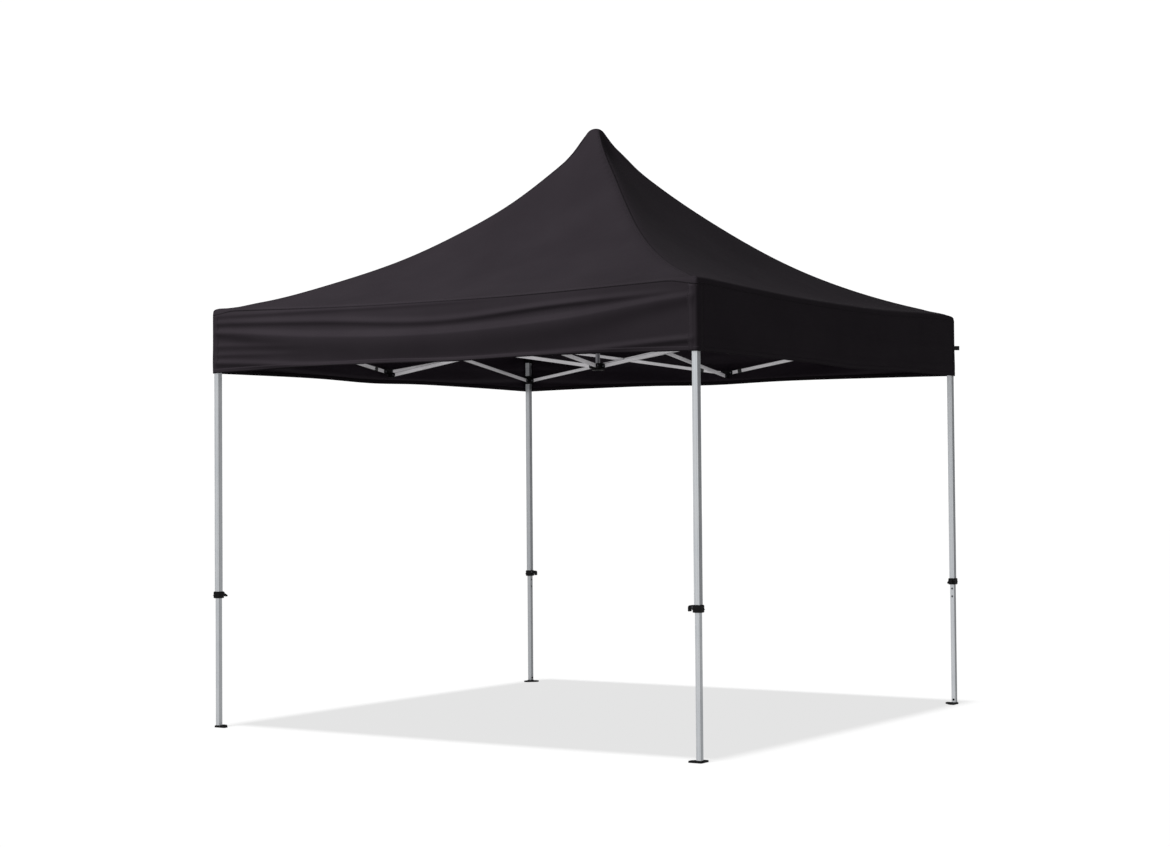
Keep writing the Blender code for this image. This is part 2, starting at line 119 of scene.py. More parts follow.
# Frame sections
BAR_HEIGHT = 0.021
BAR_THICKNESS = 0.012
CHEEK_THICKNESS = 0.004
CHEEK_GAP = 0.0004
CHEEK_REACH = 0.011
CHEEK_UP = 0.013
CHEEK_DOWN = 0.015

# Places closer than this count as the same
TOUCH = 1e-6


def linear(channel):
    """One sRGB channel, from 0 to 1, as the linear value that shaders take."""
    if channel <= 0.04045:
        return channel / 12.92
    return ((channel + 0.055) / 1.055) ** 2.4


def colour(hex_text):
    """An sRGB colour such as #2c2a2e as a linear RGBA tuple."""
    channels = [int(hex_text[start : start + 2], 16) / 255 for start in (1, 3, 5)]
    return (*(linear(channel) for channel in channels), 1.0)


def per_mm(size_mm):
    """The texture scale that gives a pattern this size on coordinates in metres."""
    return 1000.0 / size_mm


# Blender's wave texture repeats after 2 pi / 20 of its own units
WAVE_SHARE = 2 * pi / 20


def smooth_step(value):
    value = min(1.0, max(0.0, value))
    return value * value * (3 - 2 * value)


def add_node(tree, kind, inputs=None, **settings):
    """Adds a shader node with its settings.

    inputs maps a socket to a value, to another socket, or to a node, whose first output in use is taken.
    """
    made = tree.nodes.new("ShaderNode" + kind)
    for name, value in settings.items():
        setattr(made, name, value)
    for key, value in (inputs or {}).items():
        if isinstance(value, bpy.types.Node):
            value = next(socket for socket in value.outputs if socket.enabled)
        if isinstance(value, bpy.types.NodeSocket):
            tree.links.new(value, made.inputs[key])
        else:
            made.inputs[key].default_value = value
    return made


def start_material(name):
    """A new material and its empty node tree."""
    material = bpy.data.materials.new(name)
    material.use_nodes = True
    material.node_tree.nodes.clear()
    return material, material.node_tree


def end_material(material, inputs):
    """Gives the material its shader and output."""
    shader = add_node(material.node_tree, "BsdfPrincipled", inputs)
    add_node(material.node_tree, "OutputMaterial", {"Surface": shader})
    return material


def cloth_colours():
    """The darker and the lighter shade of the cloth, as the settings give them."""
    settings = bpy.context.scene.gazebo_cover
    return (*settings.dark_shade, 1.0), (*settings.light_shade, 1.0)


def woven_polyester():
    """Oxford-woven polyester, dyed charcoal: matt, with a faint sheen at grazing light and soft creases."""
    material, tree = start_material("oxford_polyester")
    dark, light = cloth_colours()
    cloth = add_node(tree, "UVMap", uv_map="cloth")
    # Dye and dust vary over half a metre
    cloud = add_node(tree, "TexNoise", {"Vector": cloth, "Scale": per_mm(450), "Detail": 3.0})
    share = add_node(tree, "MapRange", {"Value": cloud, "From Min": 0.35, "From Max": 0.65})
    base = add_node(tree, "Mix", {0: share, 6: dark, 7: light}, data_type="RGBA")
    # Threads are 0.5 mm apart on the real cloth; drawn 2 mm apart so that they show
    thread = {"Vector": cloth, "Scale": WAVE_SHARE * per_mm(2.0), "Distortion": 0.6}
    warp = add_node(tree, "TexWave", thread)
    weft = add_node(tree, "TexWave", thread, bands_direction="Y")
    weave = add_node(tree, "Math", {0: warp.outputs["Fac"], 1: weft.outputs["Fac"]}, operation="MULTIPLY")
    threads = add_node(tree, "Bump", {"Height": weave, "Strength": 0.25, "Distance": 0.0003})
    # Creases left by folding the cover away, about 120 mm apart
    folding = {"Scale": per_mm(120), "Detail": 4.0, "Roughness": 0.45, "Distortion": 1.2}
    crease = add_node(tree, "TexNoise", {"Vector": cloth, **folding})
    depth = {"Strength": 0.09, "Distance": 0.004}
    creases = add_node(tree, "Bump", {"Height": crease, **depth, "Normal": threads})
    rough = add_node(tree, "MapRange", {"Value": crease, "To Min": 0.62, "To Max": 0.8})
    gloss = {"Specular IOR Level": 0.04, "Sheen Weight": 0.01, "Sheen Roughness": 0.4}
    return end_material(
        material, {"Base Color": base.outputs[2], "Roughness": rough, "Normal": creases, **gloss}
    )


def coated_underside():
    """The cloth's waterproof polyurethane coating: smoother, dark grey, so that the inside swallows light."""
    material, tree = start_material("polyurethane_coating")
    place = add_node(tree, "TexCoord").outputs["Object"]
    cloud = add_node(tree, "TexNoise", {"Vector": place, "Scale": per_mm(300), "Detail": 3.0})
    base = add_node(tree, "Mix", {0: cloud, 6: colour("#352d36"), 7: colour("#403741")}, data_type="RGBA")
    rough = add_node(tree, "MapRange", {"Value": cloud, "To Min": 0.5, "To Max": 0.7})
    ripple = add_node(tree, "TexNoise", {"Vector": place, "Scale": per_mm(9), "Detail": 2.0})
    bump = add_node(tree, "Bump", {"Height": ripple, "Strength": 0.2, "Distance": 0.0006})
    gloss = {"Roughness": rough, "Specular IOR Level": 0.2}
    return end_material(material, {"Base Color": base.outputs[2], "Normal": bump, **gloss})


def stitched_tape():
    """Hem and seam tape of the same polyester, with a row of lockstitches near its edge."""
    material, tree = start_material("stitched_polyester_tape")
    dark, light = cloth_colours()
    cloth = add_node(tree, "UVMap", uv_map="cloth")
    axes = add_node(tree, "SeparateXYZ", {0: cloth})
    # Stitches are 4 mm apart on the real tape; drawn 9 mm apart and 2 mm wide so that they show
    along = add_node(tree, "Math", {0: axes.outputs[0], 1: 0.009}, operation="FLOORED_MODULO")
    dash = add_node(tree, "Math", {0: along, 1: 0.006}, operation="LESS_THAN")
    line = add_node(tree, "Math", {0: axes.outputs[1], 1: 0.0035, 2: 0.001}, operation="COMPARE")
    stitch = add_node(tree, "Math", {0: dash, 1: line}, operation="MULTIPLY")
    cloud = add_node(tree, "TexNoise", {"Vector": cloth, "Scale": per_mm(25), "Detail": 3.0})
    tape = add_node(tree, "Mix", {0: cloud, 6: dark, 7: light}, data_type="RGBA")
    base = add_node(tree, "Mix", {0: stitch, 6: tape.outputs[2], 7: colour("#1b191d")}, data_type="RGBA")
    pucker = add_node(tree, "Bump", {"Height": cloud, "Strength": 0.5, "Distance": 0.0015})
    raised = {"Strength": 0.6, "Distance": 0.0005}
    thread = add_node(tree, "Bump", {"Height": stitch, **raised, "Normal": pucker})
    gloss = {"Roughness": 0.7, "Specular IOR Level": 0.04, "Sheen Weight": 0.01}
    return end_material(material, {"Base Color": base.outputs[2], "Normal": thread, **gloss})


def drawn_aluminium(name, dark, light):
    """Anodised aluminium drawn through a die: satin grey, with fine lines along it and hazier patches."""
    material, tree = start_material(name)
    along = add_node(tree, "UVMap", uv_map="length")
    stretch = (per_mm(600), per_mm(1.2), 1.0)
    stretched = add_node(tree, "Mapping", {"Vector": along, "Scale": stretch})
    lines = add_node(tree, "TexNoise", {"Vector": stretched, "Scale": 1.0, "Detail": 4.0}).outputs[0]
    place = add_node(tree, "TexCoord").outputs["Object"]
    haze = add_node(tree, "TexNoise", {"Vector": place, "Scale": per_mm(180), "Detail": 4.0}).outputs[0]
    both = add_node(tree, "Math", {0: lines, 1: haze}, operation="ADD")
    share = add_node(tree, "MapRange", {"Value": both, "From Min": 0.75, "From Max": 1.25})
    base = add_node(tree, "Mix", {0: share, 6: colour(dark), 7: colour(light)}, data_type="RGBA")
    rubbed = {"From Min": 0.3, "From Max": 0.7, "To Min": 0.44, "To Max": 0.56}
    rough = add_node(tree, "MapRange", {"Value": haze, **rubbed})
    bump = add_node(tree, "Bump", {"Height": lines, "Strength": 0.3, "Distance": 0.0002})
    return end_material(
        material, {"Base Color": base.outputs[2], "Metallic": 1.0, "Roughness": rough, "Normal": bump}
    )


def moulded_nylon():
    """Glass-filled nylon, moulded: black, with a fine spark-eroded grain and dust on what faces up."""
    material, tree = start_material("moulded_nylon")
    texture = add_node(tree, "TexCoord")
    place = texture.outputs["Object"]
    grain = add_node(tree, "TexNoise", {"Vector": place, "Scale": per_mm(1.2), "Detail": 2.0})
    patches = add_node(tree, "TexNoise", {"Vector": place, "Scale": per_mm(14), "Detail": 4.0})
    facing = add_node(tree, "SeparateXYZ", {0: texture.outputs["Normal"]}).outputs[2]
    upward = add_node(tree, "MapRange", {"Value": facing, "From Min": 0.4, "To Min": 0.1, "To Max": 0.6})
    dust = add_node(tree, "Math", {0: upward, 1: patches.outputs[0]}, operation="MULTIPLY")
    base = add_node(tree, "Mix", {0: dust, 6: colour("#101012"), 7: colour("#3c3b3c")}, data_type="RGBA")
    rough = add_node(tree, "MapRange", {"Value": grain, "To Min": 0.4, "To Max": 0.6})
    bump = add_node(tree, "Bump", {"Height": grain, "Strength": 0.25, "Distance": 0.0002})
    gloss = {"Roughness": rough, "Specular IOR Level": 0.4}
    return end_material(material, {"Base Color": base.outputs[2], "Normal": bump, **gloss})


def plated_steel():
    """Zinc-plated steel of bolts and rivets: bright grey with a cloudy blue cast."""
    material, tree = start_material("zinc_plated_steel")
    place = add_node(tree, "TexCoord").outputs["Object"]
    cloud = add_node(tree, "TexNoise", {"Vector": place, "Scale": per_mm(5), "Detail": 3.0})
    base = add_node(tree, "Mix", {0: cloud, 6: colour("#8f9298"), 7: colour("#b3b6bd")}, data_type="RGBA")
    rough = add_node(tree, "MapRange", {"Value": cloud, "To Min": 0.25, "To Max": 0.42})
    return end_material(material, {"Base Color": base.outputs[2], "Metallic": 1.0, "Roughness": rough})


def enamelled_tube():
    """Steel tube stove-enamelled grey: an even satin coat, light orange peel, rubbed where it slides."""
    material, tree = start_material("stove_enamelled_steel")
    place = add_node(tree, "TexCoord").outputs["Object"]
    peel = add_node(tree, "TexNoise", {"Vector": place, "Scale": per_mm(3), "Detail": 1.0})
    rub = add_node(tree, "TexNoise", {"Vector": place, "Scale": per_mm(40), "Detail": 5.0})
    worn = add_node(tree, "MapRange", {"Value": rub, "From Min": 0.5, "From Max": 0.75})
    base = add_node(tree, "Mix", {0: worn, 6: colour("#a6a6ac"), 7: colour("#b6b6bc")}, data_type="RGBA")
    bump = add_node(tree, "Bump", {"Height": peel, "Strength": 0.15, "Distance": 0.0003})
    coat = {"Roughness": 0.42, "Coat Weight": 0.15, "Coat Roughness": 0.3}
    return end_material(material, {"Base Color": base.outputs[2], "Normal": bump, **coat})


def coated_plate():
    """Powder-coated steel of the foot plates: black, finely pebbled, scuffed grey where it is trodden on."""
    material, tree = start_material("powder_coated_steel")
    place = add_node(tree, "TexCoord").outputs["Object"]
    pebble = add_node(tree, "TexNoise", {"Vector": place, "Scale": per_mm(1.5), "Detail": 2.0})
    rubbing = {"Scale": per_mm(18), "Detail": 6.0, "Distortion": 1.0}
    scuff = add_node(tree, "TexNoise", {"Vector": place, **rubbing})
    worn = add_node(tree, "MapRange", {"Value": scuff, "From Min": 0.52, "From Max": 0.75, "To Max": 0.7})
    base = add_node(tree, "Mix", {0: worn, 6: colour("#121213"), 7: colour("#434243")}, data_type="RGBA")
    bump = add_node(tree, "Bump", {"Height": pebble, "Strength": 0.35, "Distance": 0.0003})
    gloss = {"Roughness": 0.55, "Specular IOR Level": 0.45}
    return end_material(material, {"Base Color": base.outputs[2], "Normal": bump, **gloss})


def ribbed_webbing():
    """Woven polypropylene webbing: black, with ribs 2 mm apart across its length."""
    material, tree = start_material("polypropylene_webbing")
    cloth = add_node(tree, "UVMap", uv_map="cloth")
    rib = {"Vector": cloth, "Scale": WAVE_SHARE * per_mm(2.0), "Distortion": 0.4}
    ribs = add_node(tree, "TexWave", rib).outputs["Fac"]
    base = add_node(tree, "Mix", {0: ribs, 6: colour("#0d0d0e"), 7: colour("#201f21")}, data_type="RGBA")
    bump = add_node(tree, "Bump", {"Height": ribs, "Strength": 0.6, "Distance": 0.0006})
    return end_material(
        material, {"Base Color": base.outputs[2], "Roughness": 0.6, "Normal": bump, "Sheen Weight": 0.15}
    )


FINISH_MAKERS = {
    "cloth": woven_polyester,
    "coating": coated_underside,
    "tape": stitched_tape,
    "leg": lambda: drawn_aluminium("anodised_aluminium", "#e0e4e8", "#f3f5f7"),
    "bar": lambda: drawn_aluminium("extruded_aluminium", "#dcdadd", "#efedf0"),
    "nylon": moulded_nylon,
    "zinc": plated_steel,
    "mast": enamelled_tube,
    "plate": coated_plate,
    "webbing": ribbed_webbing,
}
finishes_made = {}


def finish(name):
    """The shared material of that finish, made when it is first asked for."""
    if name not in finishes_made:
        finishes_made[name] = FINISH_MAKERS[name]()
    return finishes_made[name]


def mesh_from(shape, name):
    """A mesh made from a bmesh, which is used up."""
    mesh = bpy.data.meshes.new(name)
    shape.to_mesh(mesh)
    shape.free()
    return mesh


def add_object(name, data):
    """A new object of the scene."""
    made = bpy.data.objects.new(name, data)
    bpy.context.scene.collection.objects.link(made)
    return made


def set_uv_map(shape, name, place_on_map):
    """Gives a bmesh a UV map; place_on_map turns a vertex's place into its U and V."""
    layer = shape.loops.layers.uv.new(name)
    for face in shape.faces:
        for loop in face.loops:
            loop[layer].uv = place_on_map(loop.vert.co)
    return shape


def round_edges(shape, edges, radius, segments=2):
    bmesh.ops.bevel(
        shape,
        geom=edges,
        offset=radius,
        offset_type="OFFSET",
        segments=segments,
        profile=0.5,
        affect="EDGES",
        material=-1,
        clamp_overlap=True,
    )


def upright_edges(shape, shortest=0.001):
    return [edge for edge in shape.edges if abs(edge.verts[0].co.z - edge.verts[1].co.z) > shortest]


def sharp_edges(shape, least_angle=0.9):
    shared = [edge for edge in shape.edges if len(edge.link_faces) == 2]
    return [edge for edge in shared if edge.calc_face_angle() > least_angle]


def new_verts(made):
    """The vertices among what an extrusion has made."""
    return [item for item in made["geom"] if isinstance(item, bmesh.types.BMVert)]


def block(low, high, radius=0.0, segments=2):
    """A box between two corners, with its edges rounded."""
    shape = bmesh.new()
    bmesh.ops.create_cube(shape, size=1.0)
    size = [b - a for a, b in zip(low, high)]
    middle = [(a + b) / 2 for a, b in zip(low, high)]
    bmesh.ops.scale(shape, vec=size, verts=shape.verts)
    bmesh.ops.translate(shape, vec=middle, verts=shape.verts)
    if radius:
        round_edges(shape, shape.edges[:], radius, segments)
    return shape


def square_block(half, low, high, radius=0.0, segments=2):
    """A box of square section round the Z axis, between two heights."""
    return block((-half, -half, low), (half, half, high), radius, segments)


def rod(radius, start, end, sides=20, edge=0.0, tip_radius=None):
    """A round bar from one point to another, with its two rims rounded."""
    start = Vector(start)
    end = Vector(end)
    shape = bmesh.new()
    bmesh.ops.create_cone(
        shape,
        cap_ends=True,
        segments=sides,
        radius1=radius,
        radius2=radius if tip_radius is None else tip_radius,
        depth=(end - start).length,
    )
    if edge:
        rims = [item for item in shape.edges if abs(item.verts[0].co.z - item.verts[1].co.z) < TOUCH]
        round_edges(shape, rims, edge)
    turn = Vector((0, 0, 1)).rotation_difference(end - start).to_matrix().to_4x4()
    bmesh.ops.transform(shape, matrix=Matrix.Translation((start + end) / 2) @ turn, verts=shape.verts)
    return shape


def joined(shapes):
    """One bmesh that holds several."""
    whole = bmesh.new()
    for shape in shapes:
        mesh = mesh_from(shape, "joined")
        whole.from_mesh(mesh)
        bpy.data.meshes.remove(mesh)
    return whole


def in_slots(*groups):
    """One bmesh that holds several groups of shapes, each group in a material slot of its own."""
    for index, group in enumerate(groups):
        for shape in group:
            for face in shape.faces:
                face.material_index = index
    return joined([shape for group in groups for shape in group])


def moved(shape, matrix):
    bmesh.ops.transform(shape, matrix=matrix, verts=shape.verts)
    if matrix.determinant() < 0:
        bmesh.ops.reverse_faces(shape, faces=shape.faces)
    return shape


SWAP_X_AND_Y = Matrix(((0, 1, 0, 0), (1, 0, 0, 0), (0, 0, 1, 0), (0, 0, 0, 1)))


def cut_away(shape, tools):
    """The shape less the tools, by Boolean modifiers on helper objects."""
    base = add_object("cut", mesh_from(shape, "cut"))
    helpers = [base]
    for tool in tools:
        helper = add_object("tool", mesh_from(tool, "tool"))
        helpers.append(helper)
        step = base.modifiers.new("cut", "BOOLEAN")
        step.operation = "DIFFERENCE"
        step.object = helper
    bpy.context.view_layer.update()
    result = bmesh.new()
    result.from_object(base, bpy.context.evaluated_depsgraph_get())
    for helper in helpers:
        mesh = helper.data
        bpy.data.objects.remove(helper)
        bpy.data.meshes.remove(mesh)
    return result


SOFT_SHARP_ANGLE = radians(75)
HARD_SHARP_ANGLE = radians(38)


def add_piece(name, shape, finishes, body, replaced=(), soft=False):
    """Makes a piece from a bmesh: its materials in slot order, its body and what it stands for."""
    mesh = mesh_from(shape, name)
    for item in finishes:
        mesh.materials.append(finish(item))
    mesh.shade_smooth()
    mesh.set_sharp_from_angle(angle=SOFT_SHARP_ANGLE if soft else HARD_SHARP_ANGLE)
    piece = add_object(name, mesh)
    if not soft:
        # Flat faces stay evenly lit beside their rounded edges
        even = piece.modifiers.new("even_shading", "WEIGHTED_NORMAL")
        even.keep_sharp = True
    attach(piece, body)
    if replaced:
        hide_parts(*replaced)
    return piece


def side_turn(index):
    """Turns a shape made for the front side to another side."""
    return Matrix.Rotation(index * QUARTER_TURN, 4, "Z")


def add_leg_piece(index, name, shape, finishes, body, node):
    """Adds a piece at one corner; its shape is made round the leg's axis, with the sides along +X and +Y."""
    corner = CORNERS[index]
    place = side_turn(index) @ Matrix.Translation((-LEG_AXIS, -LEG_AXIS, 0.0))
    add_piece(
        f"{name}_{corner}", moved(shape, place), finishes, f"{body}_{corner}", [f"{node}_{corner}"]
    )


# Folds of each valance, five places along it from its left end to its right end, seen from outside: the
# height of the ridge, how far it stands out in mm, and how far its upper and its lower flank reach in mm.
VALANCE_FOLDS = {
    "front": (
        ((2.172, 2.170, 2.172, 2.192, 2.196), (7, 6, 5, 2, 1), (12, 12, 12, 10, 10), (14, 14, 14, 12, 10)),
        ((2.136, 2.112, 2.079, 2.123, 2.150), (10, 11, 9, 13, 0), (15, 17, 15, 12, 12), (16, 16, 16, 15, 14)),
        ((2.086, 2.032, 2.011, 2.047, 2.126), (14, 28, 32, 29, 13), (12, 19, 21, 18, 11), (20, 88, 110, 85, 34)),
        ((2.014, 1.985, 1.970, 1.970, 1.970), (6, 0, 0, 0, 0), (10, 12, 12, 12, 12), (14, 14, 14, 14, 14)),
        ((1.966, 1.950, 1.940, 1.940, 1.940), (6, 0, 0, 0, 0), (9, 10, 10, 10, 10), (12, 12, 12, 12, 12)),
        ((1.926, 1.889, 1.880, 1.892, 1.929), (13, 10, 7, 10, 14), (11, 9, 7, 9, 11), (20, 20, 20, 20, 18)),
    ),
    "right": (
        ((2.170, 2.120, 2.130, 2.150, 2.170), (2, 6, 5, 3, 2), (14, 24, 20, 18, 14), (20, 50, 40, 30, 20)),
        ((2.100, 2.050, 2.010, 2.005, 2.040), (4, 8, 10, 9, 4), (14, 20, 24, 20, 14), (26, 60, 80, 60, 26)),
        ((1.930, 1.905, 1.900, 1.905, 1.925), (6, 5, 6, 5, 6), (12, 14, 14, 14, 12), (22, 28, 28, 28, 22)),
    ),
    "back": (
        ((2.172, 2.160, 2.150, 2.160, 2.172), (5, 6, 5, 6, 4), (12, 14, 14, 14, 12), (14, 16, 18, 16, 14)),
        ((2.100, 2.040, 2.000, 2.025, 2.090), (10, 22, 25, 22, 10), (13, 22, 25, 22, 13), (24, 84, 104, 80, 28)),
        ((2.020, 1.980, 1.960, 1.970, 2.010), (6, 1, 0, 1, 6), (11, 13, 14, 13, 11), (16, 18, 18, 18, 16)),
        ((1.925, 1.895, 1.888, 1.895, 1.930), (10, 8, 6, 8, 10), (12, 11, 9, 11, 12), (20, 22, 22, 22, 20)),
    ),
    "left": (
        ((2.176, 2.165, 2.158, 2.168, 2.180), (4, 5, 4, 6, 4), (12, 13, 14, 13, 12), (14, 16, 18, 16, 14)),
        ((2.090, 2.055, 2.015, 2.040, 2.105), (9, 18, 22, 20, 11), (14, 21, 24, 22, 13), (28, 76, 96, 84, 26)),
        ((2.000, 1.970, 1.955, 1.975, 2.020), (5, 1, 0, 1, 6), (11, 13, 14, 13, 11), (16, 18, 18, 18, 16)),
        ((1.930, 1.900, 1.890, 1.900, 1.930), (10, 8, 6, 8, 11), (12, 11, 9, 11, 12), (20, 22, 22, 22, 20)),
    ),
}
HEM_FLUTTER = {"front": (0.0025, 0.4), "right": (0.003, 1.9), "back": (0.0035, 3.1), "left": (0.003, 5.0)}
FLUTTER_LENGTH = 0.86
BILLOW = 0.0060
STIFF_LENGTH = 0.055
CORNER_BULGE = 0.0015
CORNER_BULGE_Z = 1.93
INWARD_LIMIT = -0.0008


def along_side(values, share):
    """A smooth curve through five values spread evenly along a side; share runs from -1 to 1."""
    place = min(3.999, max(0.0, (share + 1) * 2))
    first = int(place)
    t = place - first
    before, start, end, after = (values[min(4, max(0, first + step))] for step in (-1, 0, 1, 2))
    slope_start = (end - before) / 2
    slope_end = (after - start) / 2
    bend = 3 * (end - start) - 2 * slope_start - slope_end
    return start + slope_start * t + bend * t * t + (slope_start + slope_end - 2 * (end - start)) * t**3


def valance_bulge(side, along, z, depth):
    """How far the valance stands out at a place; depth runs from 0 at the eave to 1 at the hem."""
    share = along / COVER_HALF
    out = BILLOW * sin(pi * min(1.0, depth * 1.1)) * (1 - share**4)
    for heights, strengths, upper, lower in VALANCE_FOLDS[side]:
        above = (z - along_side(heights, share)) * 1000
        drop = above / along_side(upper if above > 0 else lower, share)
        out += max(0.0, along_side(strengths, share)) / 1000 * exp(-drop * drop)
    flutter, phase = HEM_FLUTTER[side]
    out += flutter * depth**2 * sin(2 * pi * along / FLUTTER_LENGTH + phase)
    stiff = smooth_step((abs(along) - COVER_HALF + STIFF_LENGTH) / (STIFF_LENGTH - 0.008))
    bulge = CORNER_BULGE * exp(-(((z - CORNER_BULGE_Z) / 0.06) ** 2))
    out = out * (1 - stiff) + bulge * stiff
    return max(INWARD_LIMIT, out * smooth_step(depth / 0.05))


LEDGE_LENGTH = 0.17
LEDGE_Z = 2.215
EAVE_RADIUS = 0.006
# The right side isn't stretched over its eave as tightly as the others
SLACK_EAVE_RADIUS = 0.026
CORNER_EAVE_RADIUS = 0.032
CROWN_SPREAD = 0.0506
CROWN_LIFT = 0.101
CROWN_CURVE = 0.12
CROWN_DEPTH = 0.02
CROWN_BLEND = 0.010
HIP_SHARPNESS = 6.0
HIP_SHARPENING = 60.0


def roof_profile(reach):
    """Height of the roof along a hip, at a distance from its middle: concave, steeper under the crown."""
    inward = 1 - reach / COVER_HALF
    rise = ROOF_LINEAR_RISE * inward + ROOF_CURVED_RISE * inward**2
    return EAVE_Z + rise + CROWN_LIFT * exp(-((reach / CROWN_SPREAD) ** 2))


# How much each hip lies above the even curve: the distance along it, the lift and the length of the lift
LEFT_LIFTS = (
    (0.07, 0.014, 0.035),
    (0.33, -0.019, 0.19),
    (0.60, -0.008, 0.30),
    (1.05, 0.018, 0.28),
    (1.42, 0.008, 0.15),
)
RIGHT_LIFTS = ((0.10, 0.020, 0.05), (0.52, 0.007, 0.22), (1.20, 0.024, 0.50))
NEAR_LIFTS = ((0.08, 0.012, 0.05), (1.15, 0.021, 0.42))


def hip_lift(x, y, far):
    """The lift of the nearest hip, with what its rounding takes off."""
    lifts = NEAR_LIFTS if x * y < 0 else RIGHT_LIFTS if x > 0 else LEFT_LIFTS
    power = HIP_SHARPNESS + HIP_SHARPENING * far
    rounding = roof_profile(far) - roof_profile(far * 2 ** (1 / power))
    lift = sum(height * exp(-(((far - place) / spread) ** 2)) for place, height, spread in lifts)
    return (rounding + lift) * smooth_step((far - 0.015) / 0.05)


HIP_TURN = radians(4)
HIP_TURN_REACH = 0.55
HIP_TURN_SPREAD = 0.7
HIP_TURN_FADE = 0.3
HIP_TURN_PASSES = 8


def near_hip_swing(x, y):
    """How far the near hip swings to the right at a plan point: most below the crown, none at the eave."""
    off_hip = atan2(y, x) + pi / 4
    swing = HIP_TURN * exp(-((x * x + y * y) / HIP_TURN_REACH**2) - (off_hip / HIP_TURN_SPREAD) ** 2)
    return swing * smooth_step((COVER_HALF - max(abs(x), abs(y))) / HIP_TURN_FADE)


def turn_near_hip(x, y):
    """A plan point as it would lie with the near hip straight."""
    swing = near_hip_swing(x, y)
    return x * cos(swing) + y * sin(swing), y * cos(swing) - x * sin(swing)


def turn_to_near_hip(x, y):
    """The way back: a point of the flat pattern's straight diagonal comes to lie on the turned hip."""
    turned_x, turned_y = x, y
    for _ in range(HIP_TURN_PASSES):
        swing = near_hip_swing(turned_x, turned_y)
        turned_x, turned_y = x * cos(swing) - y * sin(swing), y * cos(swing) + x * sin(swing)
    return turned_x, turned_y


def roof_height(x, y):
    """Height of the cover's outer surface over a point of the plan."""
    if max(abs(x), abs(y)) < 1e-6:
        return CROWN_TOP_Z
    turned = turn_near_hip(x, y)
    near, far = sorted(map(abs, turned))
    power = HIP_SHARPNESS + HIP_SHARPENING * far
    reach = far * (1 + (near / far) ** power) ** (1 / power)
    cone = roof_profile(reach) + hip_lift(*turned, far) * smooth_step((near / far - 0.2) / 0.8)
    dome = CROWN_TOP_Z - min(CROWN_DEPTH, (x * x + y * y) / CROWN_CURVE)
    gap = cone - dome
    height = (cone + dome - sqrt(gap * gap + CROWN_BLEND**2 * smooth_step(far / 0.05))) / 2
    near, far = sorted((abs(x), abs(y)))
    height -= EAVE_SAG * (far / COVER_HALF) ** 3 * (1 - (near / far) ** 2)
    corner = smooth_step(1 - (COVER_HALF - near) / LEDGE_LENGTH)
    height += (LEDGE_Z - height) * corner
    height += corner_tension(x, y)
    radius = SLACK_EAVE_RADIUS if x > abs(y) else EAVE_RADIUS
    radius += (CORNER_EAVE_RADIUS - radius) * corner
    inside = COVER_HALF - far
    if inside < radius:
        height -= radius - sqrt(radius**2 - (radius - inside) ** 2)
    return height


TENSION_HEIGHT = 0.0016
TENSION_REACH = 0.20
TENSION_LINES = 15.0


def corner_tension(x, y):
    """Faint wrinkles that fan out over the roof from each corner, where the frame stretches it."""
    from_corner = Vector((COVER_HALF - abs(x), COVER_HALF - abs(y)))
    distance = from_corner.length
    if distance > 4 * TENSION_REACH:
        return 0.0
    fan = sin(TENSION_LINES * atan2(from_corner.y, from_corner.x) + (1.3 if x * y > 0 else 0.2))
    fade = exp(-distance / TENSION_REACH) * smooth_step((distance - 0.07) / 0.08)
    return TENSION_HEIGHT * fan * fade


def round_plan(x, y):
    """A point of the plan, drawn in to round the square's corners, and the way out of the square there."""
    inner = COVER_HALF - CORNER_RADIUS
    over_x = (abs(x) - inner) / CORNER_RADIUS
    over_y = (abs(y) - inner) / CORNER_RADIUS
    sign_x = 1 if x > 0 else -1
    sign_y = 1 if y > 0 else -1
    if over_x > 0 and over_y > 0:
        arc_x = over_x * sqrt(1 - over_y**2 / 2)
        arc_y = over_y * sqrt(1 - over_x**2 / 2)
        place = Vector((sign_x * (inner + arc_x * CORNER_RADIUS), sign_y * (inner + arc_y * CORNER_RADIUS)))
        return place, Vector((sign_x * arc_x, sign_y * arc_y)).normalized()
    if over_x > over_y:
        return Vector((x, y)), Vector((sign_x, 0))
    return Vector((x, y)), Vector((0, sign_y))


def side_of(x, y):
    """The side of a point of the flat pattern, and its place along that side, seen from outside."""
    if abs(y) >= abs(x):
        return ("front", x) if y < 0 else ("back", -x)
    return ("right", y) if x > 0 else ("left", -y)


def cover_point(x, y, depth):
    """A point of the cover: over the plan where depth is 0, and on the valance below it."""
    if depth <= 0.0:
        x, y = turn_to_near_hip(x, y)
    plan, outwards = round_plan(x, y)
    top = roof_height(x, y)
    if depth <= 0.0:
        return Vector((*plan, top))
    side, along = side_of(x, y)
    share = along / COVER_HALF
    dip = HEM_DIP * exp(-(((share - HEM_DIP_PLACE) / HEM_DIP_SPREAD) ** 2))
    hem = HEM_Z + HEM_RISES[side] * (1 - share**2) - dip
    z = top + (hem - top) * depth
    return Vector((*(plan + outwards * valance_bulge(side, along, z, depth)), z))


GRID_STEP = 0.030
CORNER_STEP = 0.007
CROWN_STEP = 0.009
CORNER_FADE = 0.05
CROWN_FADE = 0.06


